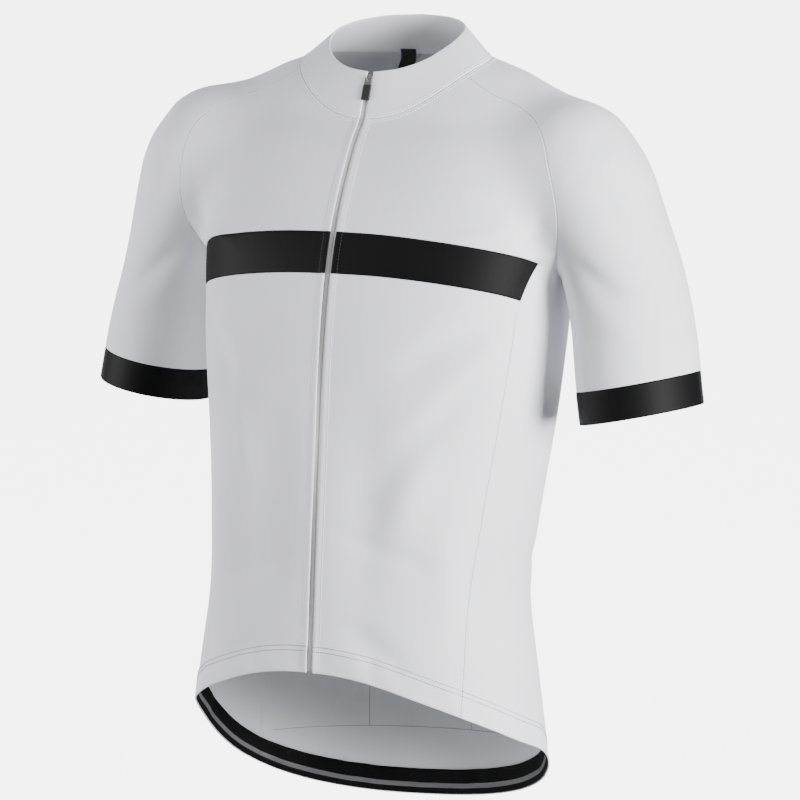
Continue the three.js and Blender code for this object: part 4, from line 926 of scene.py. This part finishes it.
def shoulder_row(share, at_front, at_back):
    """A row of the sleeve over the shoulder, fanned from the core between two seam points."""
    core = table_point(SLEEVE_CORE, share)
    out = unit(onto_cloth(table_point(SHOULDER_RIDGE, share), steps=12) - core)
    aside = unit(BACKWARDS - out * (BACKWARDS @ out))
    along = np.cross(out, aside)

    def seat(p):
        d = p - core
        flat = math.hypot(d @ out, d @ aside)
        return math.atan2(d @ aside, d @ out), d @ along / flat

    (first, first_lean), (last, last_lean) = seat(at_front), seat(at_back)
    if share == 1:
        first, last = -math.pi, math.pi
    turn = np.linspace(first, last, CELLS["sleeve"] + 1)
    end = np.where(turn < 0, first, last)
    lean = np.where(turn < 0, first_lean, last_lean) * (turn / end) ** LEAN_POWER
    ray = np.cos(turn)[:, None] * out + np.sin(turn)[:, None] * aside + lean[:, None] * along
    ray = unit(ray)
    start = np.broadcast_to(core, ray.shape)
    point = leaves_cloth(start, ray, SHOULDER_REACH)
    tube = leaves_cloth(start, ray, SHOULDER_REACH, sleeve_distance)
    far = np.linalg.norm(point - core, axis=-1) > np.linalg.norm(tube - core, axis=-1) + UNDERARM_SPREAD
    row = np.where(far[:, None], tube, point)
    row[0], row[-1] = at_front, at_back
    return row


def arm_ring(centre):
    """A ring of the lower sleeve round a centre, square to the arm, from the underarm back to it."""
    out = np.array([math.cos(CUFF_TILT), 0, math.sin(CUFF_TILT)])
    turn = np.linspace(-math.pi, math.pi, CELLS["sleeve"] + 1)
    ray = np.cos(turn)[:, None] * out + np.sin(turn)[:, None] * BACKWARDS
    return leaves_cloth(np.broadcast_to(centre, ray.shape), ray, ARM_REACH, sleeve_distance)


raglan_front_cells = joined(raglan_front_long, raglan_front_short)
raglan_back_cells = joined(raglan_back_long, raglan_back_short)
shoulder_rows = len(raglan_front_cells) - 1
sleeve_rows = [neck_side]
for j in range(1, shoulder_rows + 1):
    sleeve_rows.append(shoulder_row(j / shoulder_rows, raglan_front_cells[j], raglan_back_cells[j]))
arm_top = table_point(SLEEVE_CORE, 1)
for j in range(1, ARM_ROWS + 1):
    sleeve_rows.append(arm_ring(arm_top + (CUFF_SEAM - arm_top) * j / ARM_ROWS))
sleeve_grid = evened(np.array(sleeve_rows)[::-1], figure, ARM_ROWS + 1)
sleeve_fine = made_finer(sleeve_grid)
sleeve_normals = outward(sleeve_fine, figure, at_neck=True)
tube_normals = outward(sleeve_fine, sleeve_distance)
below = sleeve_fine[..., 2:] < arm_top[2] - BELOW_ARMPIT
sleeve_normals = np.where(below, tube_normals, sleeve_normals)
sleeve_faces = add_pair("sleeve", drawn_in(sleeve_fine), sleeve_normals, white_cloth, "white_cloth")

# Cuffs: a folded band of black knit, sewn to the sleeve's end.
cuff_axis = np.array([math.sin(CUFF_TILT), 0, -math.cos(CUFF_TILT)])
cuff_rings = [arm_ring(CUFF_SEAM + cuff_axis * CUFF_WIDTH * share) for share in (1, 0.75, 0.5, 0.25, 0)]
cuff_fine = made_finer(np.array(cuff_rings))
cuff_normals = outward(cuff_fine, sleeve_distance)
add_pair("cuff", drawn_in(cuff_fine), cuff_normals, black_cloth, "black_cloth", DOUBLE_CLOTH, folds=False)

# Collar: a doubled stand of the white knit, folded over at its free edge and open at the zip.
collar_top_zip = math.degrees(math.asin(ZIP_OPENING / COLLAR_TOP["half_width"]))
neck_left = joined(neck_front, neck_side[::2], neck_back)
collar_foot = joined(neck_left, mirrored(neck_left)[::-1])
foot_angles = np.abs(neck_angle(collar_foot))
foot_side = np.where(collar_foot[:, 0] < -1e-6, -1, 1)
round_share = (foot_angles - neck_zip_angle) / (180 - neck_zip_angle)
collar_tips = collar_top_point(collar_top_zip + (180 - collar_top_zip) * round_share)
collar_tips[:, 0] *= foot_side
COLLAR_CELLS = 3
rise = np.linspace(0, 1, COLLAR_CELLS + 1)[:, None, None]
collar_fine = made_finer(collar_foot[None] * (1 - rise) + collar_tips[None] * rise)
collar_across = np.gradient(collar_fine, axis=1)
collar_up = np.broadcast_to(collar_fine[-1] - collar_fine[0], collar_fine.shape)
collar_normals = unit(np.cross(collar_across, collar_up))
for k, share in enumerate((1, 0.85, 0.6, 0.25)):
    collar_normals[k] = unit(collar_normals[k] * (1 - share) + neck_normal(collar_fine[k]) * share)
collar_flat = drawn_in(collar_fine)
collar_dip = seam_dip(*collar_fine.shape[:2])[..., None]
collar_outer = collar_flat - collar_normals * collar_dip
collar_inner = collar_flat - collar_normals * (DOUBLE_CLOTH - collar_dip)
collar = add_wall("cloth_collar", collar_outer, collar_inner, collar_cloth, "collar_cloth", ["collar"])

# Thread: the sewing that shows, as short raised stitches of polyester thread along the seams and the
# turned edges. Each stitch is a short thread of six sides, drawn in at both ends.
STITCH = {"pitch": 3.0, "length": 2.4, "width": 0.65}
STITCH_SIDES = 6
STITCH_RINGS = table("along girth", [(-0.5, 0.3), (-0.32, 1), (0.32, 1), (0.5, 0.3)])


def plain(name, colour, roughness, metallic=0.0, grain_mm=0.5, grain_height=0.03, spread=0.12):
    """A plain finish with a fine grain and a slight change of tone."""
    material = bpy.data.materials.new(name)
    material.use_nodes = True
    nodes, links = material.node_tree.nodes, material.node_tree.links
    shader = nodes["Principled BSDF"]
    place = nodes.new("ShaderNodeTexCoord")
    grain = nodes.new("ShaderNodeTexNoise")
    grain.inputs["Scale"].default_value = 1 / (grain_mm * MM)
    links.new(place.outputs["Object"], grain.inputs["Vector"])
    ramp = nodes.new("ShaderNodeValToRGB")
    ramp.color_ramp.elements[0].color = (*(c * (1 - spread) for c in colour), 1)
    ramp.color_ramp.elements[1].color = (*(min(c * (1 + spread), 1) for c in colour), 1)
    links.new(grain.outputs["Fac"], ramp.inputs["Fac"])
    links.new(ramp.outputs["Color"], shader.inputs["Base Color"])
    bump = nodes.new("ShaderNodeBump")
    bump.inputs["Strength"].default_value = 0.4
    bump.inputs["Distance"].default_value = grain_height * MM
    links.new(grain.outputs["Fac"], bump.inputs["Height"])
    links.new(bump.outputs["Normal"], shader.inputs["Normal"])
    shader.inputs["Roughness"].default_value = roughness
    shader.inputs["Metallic"].default_value = metallic
    return material


white_thread = plain("white_thread", (0.86, 0.86, 0.9), 0.6)
grey_thread = plain("grey_thread", (0.2, 0.2, 0.22), 0.6)
black_thread = plain("black_thread", (0.01, 0.01, 0.01), 0.6)


def line_inside(face, edge, distance):
    """The line on a face a distance in from one of its edges, with the face's directions along it."""
    grid, out = face
    if edge in ("left", "right"):
        grid, out = grid.swapaxes(0, 1), out.swapaxes(0, 1)
    if edge in ("top", "right"):
        grid, out = grid[::-1], out[::-1]
    length = np.zeros(grid.shape[:2])
    length[1:] = np.cumsum(np.linalg.norm(np.diff(grid, axis=0), axis=-1), axis=0)
    i = np.clip((length < distance).sum(0) - 1, 0, len(grid) - 2)
    k = np.arange(grid.shape[1])
    share = ((distance - length[i, k]) / (length[i + 1, k] - length[i, k]))[:, None]
    point = grid[i, k] * (1 - share) + grid[i + 1, k] * share
    return point, unit(out[i, k] * (1 - share) + out[i + 1, k] * share)


def evenly(points, directions, pitch):
    """Points and directions taken evenly along a line."""
    step = np.linalg.norm(np.diff(points, axis=0), axis=1)
    length = np.concatenate([[0], np.cumsum(step)])
    want = np.arange(pitch / 2, length[-1], pitch)
    points, directions = (
        np.stack([np.interp(want, length, rows[:, k]) for k in range(3)], -1) for rows in (points, directions)
    )
    return points, unit(directions)


def add_stitches(name, lines, material, stitch=STITCH, across=False):
    """Short rounded threads along lines that lie on the cloth, or across them, in one mesh."""
    around = np.linspace(0, 2 * np.pi, STITCH_SIDES, endpoint=False)
    along = (STITCH_RINGS["along"] * stitch["length"])[:, None, None]
    girth = (STITCH_RINGS["girth"] * stitch["width"] / 2)[:, None, None]
    points = []
    for line, directions in lines:
        at, up = evenly(line, directions, stitch["pitch"])
        way = unit(np.gradient(at, axis=0))
        if across:
            way = unit(np.cross(way, up))
        aside = unit(np.cross(up, way))
        ring = aside[:, None] * np.cos(around)[:, None] + up[:, None] * np.sin(around)[:, None]
        points.append(at[:, None, None] + way[:, None, None] * along + ring[:, None] * girth)
    points = np.concatenate(points)
    one = np.arange(len(along) * STITCH_SIDES).reshape(-1, STITCH_SIDES)
    beside = np.roll(one, -1, 1)
    sides = np.stack([one[:-1], beside[:-1], beside[1:], one[1:]], -1).reshape(-1, 4)
    first = np.arange(len(points)) * one.size
    faces = (sides + first[:, None, None]).reshape(-1, 4).tolist()
    faces += (one[0][::-1] + first[:, None]).tolist()
    faces += (one[-1] + first[:, None]).tolist()
    return add_mesh(name, settled(points), faces, material)


ZIP_STITCH_IN = 6.6
HEM_ROWS = (20.5, 25)
HEM_STITCH = {"pitch": 2.6, "length": 2.0, "width": 0.8}
SEAM_ROW = 1.7
COLLAR_ROWS = (1.5, 3.8)
COLLAR_STITCH = {"pitch": 3.0, "length": 2.7, "width": 0.9}
back_face = (back_outer, back_normals)
collar_face = (collar_outer, collar_normals)
white_faces = [*front_faces.values(), *chest_faces.values()]
zip_lines = [line_inside(face, "left", ZIP_STITCH_IN) for face in white_faces]
add_stitches("stitches_zip_edge", zip_lines, white_thread)
band_lines = [line_inside(face, "left", ZIP_STITCH_IN) for face in band_faces.values()]
add_stitches("stitches_zip_edge_band", band_lines, black_thread)
hem_faces = [*front_faces.values(), *side_faces.values(), back_face]
add_stitches(
    "stitches_hem",
    [line_inside(face, "bottom", row) for face in hem_faces for row in HEM_ROWS],
    grey_thread,
    HEM_STITCH,
)
seam_lines = [line_inside(face, "right", SEAM_ROW) for face in white_faces]
seam_lines += [line_inside(back_face, edge, SEAM_ROW) for edge in ("left", "right")]
add_stitches("stitches_seams", seam_lines, white_thread)
neck_faces = [*chest_faces.values(), *sleeve_faces.values(), back_face]
add_stitches(
    "stitches_collar",
    [line_inside(face, "top", row) for face in neck_faces for row in COLLAR_ROWS]
    + [line_inside(collar_face, "bottom", row) for row in COLLAR_ROWS],
    white_thread,
    COLLAR_STITCH,
)

# Zip: a reversed nylon coil. Its two woven tapes show smooth in the opening, folded over at the middle, and
# its coil lies behind them. The tapes are sewn behind the turned front edges.
ZIP_ROWS = 96
ZIP_COLLAR_ROWS = 12
ZIP_END_GAP = 1.5
COLLAR_ZIP_SHARE = 0.97
TAPES_PART_AT = 0.8
TAPE = {"width": 13, "thickness": 0.8, "middle_gap": 0.2, "parted_gap": 1.7, "behind": CLOTH + 0.5}
TAPE_COLLAR_BEHIND = DOUBLE_CLOTH + 0.5
TAPE_COLUMNS = np.array([0, 0.02, 0.05, 0.1, 0.2, 0.4, 0.7, 1])
TAPE_FOLD = np.array([0.5, 0.2, 0.06, 0, 0, 0, 0, 0])
COIL = {"pitch": 1.6, "length": 3.0, "width": 1.1}
COIL_BEHIND = 0.1
COIL_ROWS = ZIP_ROWS + ZIP_COLLAR_ROWS - 3


def zip_face(across, at_top):
    """The outer face of the front beside the middle line, at distances across, from the hem to the collar."""
    across = np.broadcast_to(across, (ZIP_ROWS, len(across)))
    low, neck = hem_at_zip[2] + ZIP_END_GAP, neck_point(0.0)
    z = np.linspace(low, neck[2], ZIP_ROWS)[:, None] + 0 * across
    body = torso_point(angle_across(np.abs(across), z), z)
    body[..., 0] = across
    body[-1] = neck_point(np.degrees(np.arcsin(across[-1] / NECK["half_width"])))
    normals = outward(body)
    normals[-1] = neck_normal(body[-1])
    share = np.linspace(0, 1, ZIP_COLLAR_ROWS + 1)[1:, None]
    wide = np.where(share > TAPES_PART_AT, at_top, across[0])
    base = neck_point(np.degrees(np.arcsin(wide / NECK["half_width"])))
    tip = collar_top_point(np.degrees(np.arcsin(wide / COLLAR_TOP["half_width"])))
    stand = base + (tip - base) * share[..., None] * COLLAR_ZIP_SHARE
    grid = np.concatenate([body, stand])
    normals = np.concatenate([normals, np.broadcast_to(collar_normal(0.0), stand.shape)])
    depth = np.full((len(grid), 1, 1), TAPE["behind"])
    depth[ZIP_ROWS - 1 :] = TAPE_COLLAR_BEHIND
    return grid, normals, depth


# The tapes' colour is painted paler than the tape itself, as painted light against the shade they lie in
# behind the turned front edges.
tape_cloth_painted_pale = fabric("zip_tape", (0.8, 0.8, 0.78), (0.86, 0.86, 0.84), 0.7, 0.05, 0.6, 0.12, 0.2)
inner_edge, top_edge = (
    gap + (TAPE["width"] - gap) * TAPE_COLUMNS for gap in (TAPE["middle_gap"], TAPE["parted_gap"])
)
tape_grid, tape_normals, tape_depth = zip_face(inner_edge, top_edge)
tape_outer = tape_grid - tape_normals * (tape_depth + TAPE_FOLD[:, None])
tape_inner = tape_grid - tape_normals * (tape_depth + TAPE["thickness"])
for side, turned in SIDES.items():
    node = f"zip_tape_{side}"
    faces = turned(tape_outer), turned(tape_inner)
    tape = add_wall(f"woven_{node}", *faces, tape_cloth_painted_pale, "zip_tape", [node], side == "right")

nylon = plain("nylon_coil", (0.6, 0.6, 0.58), 0.4)
chain_grid, chain_normals, chain_depth = zip_face(np.array([0.0]), np.array([0.0]))
chain_back = chain_depth + TAPE["thickness"] + COIL["width"] / 2 + COIL_BEHIND
chain = (chain_grid - chain_normals * chain_back)[:COIL_ROWS, 0]
coil_line = (chain, chain_normals[:COIL_ROWS, 0])
coil = add_stitches("zip_coil_turns", [coil_line], nylon, COIL, across=True)
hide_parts("zip_coil")

# Slider and pull: plated metal castings, and a moulded rubber grip on the pull. They are the CAD solids, with
# their edges softened.
EDGE_SOFTNESS = 0.00018
SHARP_ANGLE = math.radians(40)


def finished(node, material):
    """Gives a hard CAD node its material and softens its edges."""
    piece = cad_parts[node]
    piece.data.materials.clear()
    piece.data.materials.append(material)
    bevel = piece.modifiers.new("soft_edges", "BEVEL")
    bevel.width = EDGE_SOFTNESS
    bevel.segments = 2
    bevel.limit_method = "ANGLE"
    bevel.angle_limit = SHARP_ANGLE


plated = plain("plated_metal", (0.72, 0.71, 0.68), 0.24, 1.0, 1.2, 0.01, 0.06)
rubber = plain("moulded_rubber", (0.012, 0.012, 0.012), 0.5, 0.0, 0.25, 0.03)
finished("zip_slider", plated)
finished("pull_link", plated)
finished("pull_grip", rubber)

# Hem gripper: a black elastic tape sewn inside the hem of the sides and back, with a grey silicone stripe.
GRIPPER = {"lower": 1.5, "upper": 27, "thickness": 1.0, "gap": 0.35}
STRIPE = {"lower": 7.5, "upper": 12.5, "thickness": 0.3}
elastic = fabric("black_elastic", (0.002, 0.002, 0.002), (0.004, 0.004, 0.004), 0.7, 0.0, 1.4, 0.3, 0.12)
silicone = plain("grey_silicone", (0.13, 0.13, 0.135), 0.45, 0.0, 0.8, 0.04)


def inside_hem(distance, depth):
    """A line round the inside of the sides and back, a distance up from the hem and a depth in."""
    lines = []
    for face, backwards in ((side_faces["left"], False), (back_face, False), (side_faces["right"], True)):
        point, out = line_inside(face, "bottom", distance)
        line = point - out * depth
        lines.append(line[::-1] if backwards else line)
    return np.vstack(lines)


def hem_strip(name, strip, depth, material, slot, nodes=()):
    """A strip inside the hem, between two distances from its edge."""
    steps = np.linspace(strip["lower"], strip["upper"], 6)
    outer = np.array([inside_hem(step, depth) for step in steps])
    inner = np.array([inside_hem(step, depth + strip["thickness"]) for step in steps])
    return add_wall(name, outer, inner, material, slot, nodes), outer


gripper_depth = CLOTH + GRIPPER["gap"]
stripe_depth = gripper_depth + GRIPPER["thickness"]
gripper, gripper_outer = hem_strip(
    "elastic_gripper", GRIPPER, gripper_depth, elastic, "black_elastic", ["hem_gripper"]
)
hem_strip("gripper_stripe", STRIPE, stripe_depth, silicone, "black_elastic")

# Back pockets: one wide panel of the white knit, sewn to the back at its foot, its ends and two dividers. Its
# three mouths stand a little open, under a narrow turned edge.
POCKET = {"foot": -651, "mouth": -481, "depth": 14, "gap": 0.5, "rows": 40, "divider": 4, "end": 1}
POUCH = {"fullness": 0.7, "opening": 0.6}
MOUTH_STITCH_IN = 12
FOOT_STITCH_IN = 1.5
END_STITCH_IN = 2


def at_heights(face, heights):
    """Points and directions of a face's columns at heights given for each column."""
    grid, out = face
    points, directions = [], []
    for i in range(grid.shape[1]):
        z = grid[:, i, 2]
        points.append([np.interp(heights[:, i], z, grid[:, i, k]) for k in range(3)])
        directions.append([np.interp(heights[:, i], z, out[:, i, k]) for k in range(3)])
    return np.array(points).transpose(2, 0, 1), unit(np.array(directions).transpose(2, 0, 1))


column_places = finer_places(2 * CELLS["back"])
pocket_seams = np.array([POCKET["end"], CELLS["back"] - POCKET["divider"]])
pocket_seams = np.concatenate([pocket_seams, 2 * CELLS["back"] - pocket_seams[::-1]])
within = (column_places >= pocket_seams[0]) & (column_places <= pocket_seams[-1])
pocket_columns = column_places[within]
pouch = np.clip(np.searchsorted(pocket_seams, pocket_columns, side="right") - 1, 0, 2)
across_pouch = (pocket_columns - pocket_seams[pouch]) / (pocket_seams[pouch + 1] - pocket_seams[pouch])
pocket_rise = np.linspace(0, 1, POCKET["rows"] + 1)[:, None]
heights = POCKET["foot"] + (POCKET["mouth"] - POCKET["foot"]) * pocket_rise + 0 * across_pouch
pocket_base, pocket_out = at_heights((back_outer[:, within], back_normals[:, within]), heights)
swell = POCKET["depth"] * np.sin(np.pi * np.clip(across_pouch, 0, 1)) ** POUCH["fullness"]
swell = swell * pocket_rise ** POUCH["opening"]
pocket_inner = pocket_base + pocket_out * (POCKET["gap"] + swell)[..., None]
pocket_outer = pocket_inner + pocket_out * CLOTH
pocket = add_wall(
    "cloth_pocket_panel", pocket_outer, pocket_inner, white_cloth, "white_cloth", ["pocket_panel"]
)
pocket_face = (pocket_outer, pocket_out)
pocket_lines = [line_inside(pocket_face, "top", MOUTH_STITCH_IN)]
pocket_lines.append(line_inside(pocket_face, "bottom", FOOT_STITCH_IN))
pocket_lines += [line_inside(pocket_face, edge, END_STITCH_IN) for edge in ("left", "right")]
foot_lines = [(pocket_base[0] - pocket_out[0] * CLOTH, -pocket_out[0])]
for seam in pocket_seams[1:3]:
    k = np.abs(pocket_columns - seam).argmin()
    pocket_lines.append((pocket_outer[:, k], pocket_out[:, k]))
    foot_lines.append((pocket_base[:, k] - pocket_out[:, k] * CLOTH, -pocket_out[:, k]))
add_stitches("stitches_pockets", pocket_lines, white_thread)
add_stitches("stitches_inside_back", foot_lines, grey_thread)

# Neck label: a short black satin strip that hangs inside from the collar seam, a little off the middle.
LABEL = {"width": 16, "thickness": 0.7, "gap": 1.1, "rows": 30}
LABEL_LINE = table("share x z", [(0, -17, 31), (0.2, -20, 23), (0.6, -30, 8), (1, -39, -13)])
LABEL_CURL = 1.2
satin = plain("black_satin", (0.008, 0.008, 0.009), 0.38, 0.0, 0.4, 0.03)
label_t = np.linspace(1, 0, LABEL["rows"] + 1)[:, None]
label_across = np.array([1, 0.9, 0.5, 0, -0.5, -0.9, -1]) * LABEL["width"] / 2
label_x = column_curve(LABEL_LINE, "share", "x")(label_t) + label_across
label_z = column_curve(LABEL_LINE, "share", "z")(label_t) + 0 * label_across
label_face = torso_point(-angle_across(np.abs(label_x), label_z), label_z)
label_face[..., 0] = label_x
label_out = unit(gradient(label_face, torso_distance))
curl = LABEL_CURL * label_t**2 * np.cos(label_across / LABEL["width"] * np.pi)
label_outer = label_face - label_out * (CLOTH + LABEL["gap"] + curl)[..., None]
label_inner = label_outer - label_out * LABEL["thickness"]
label = add_wall("satin_neck_label", label_outer, label_inner, satin, "black_elastic", ["neck_label"])
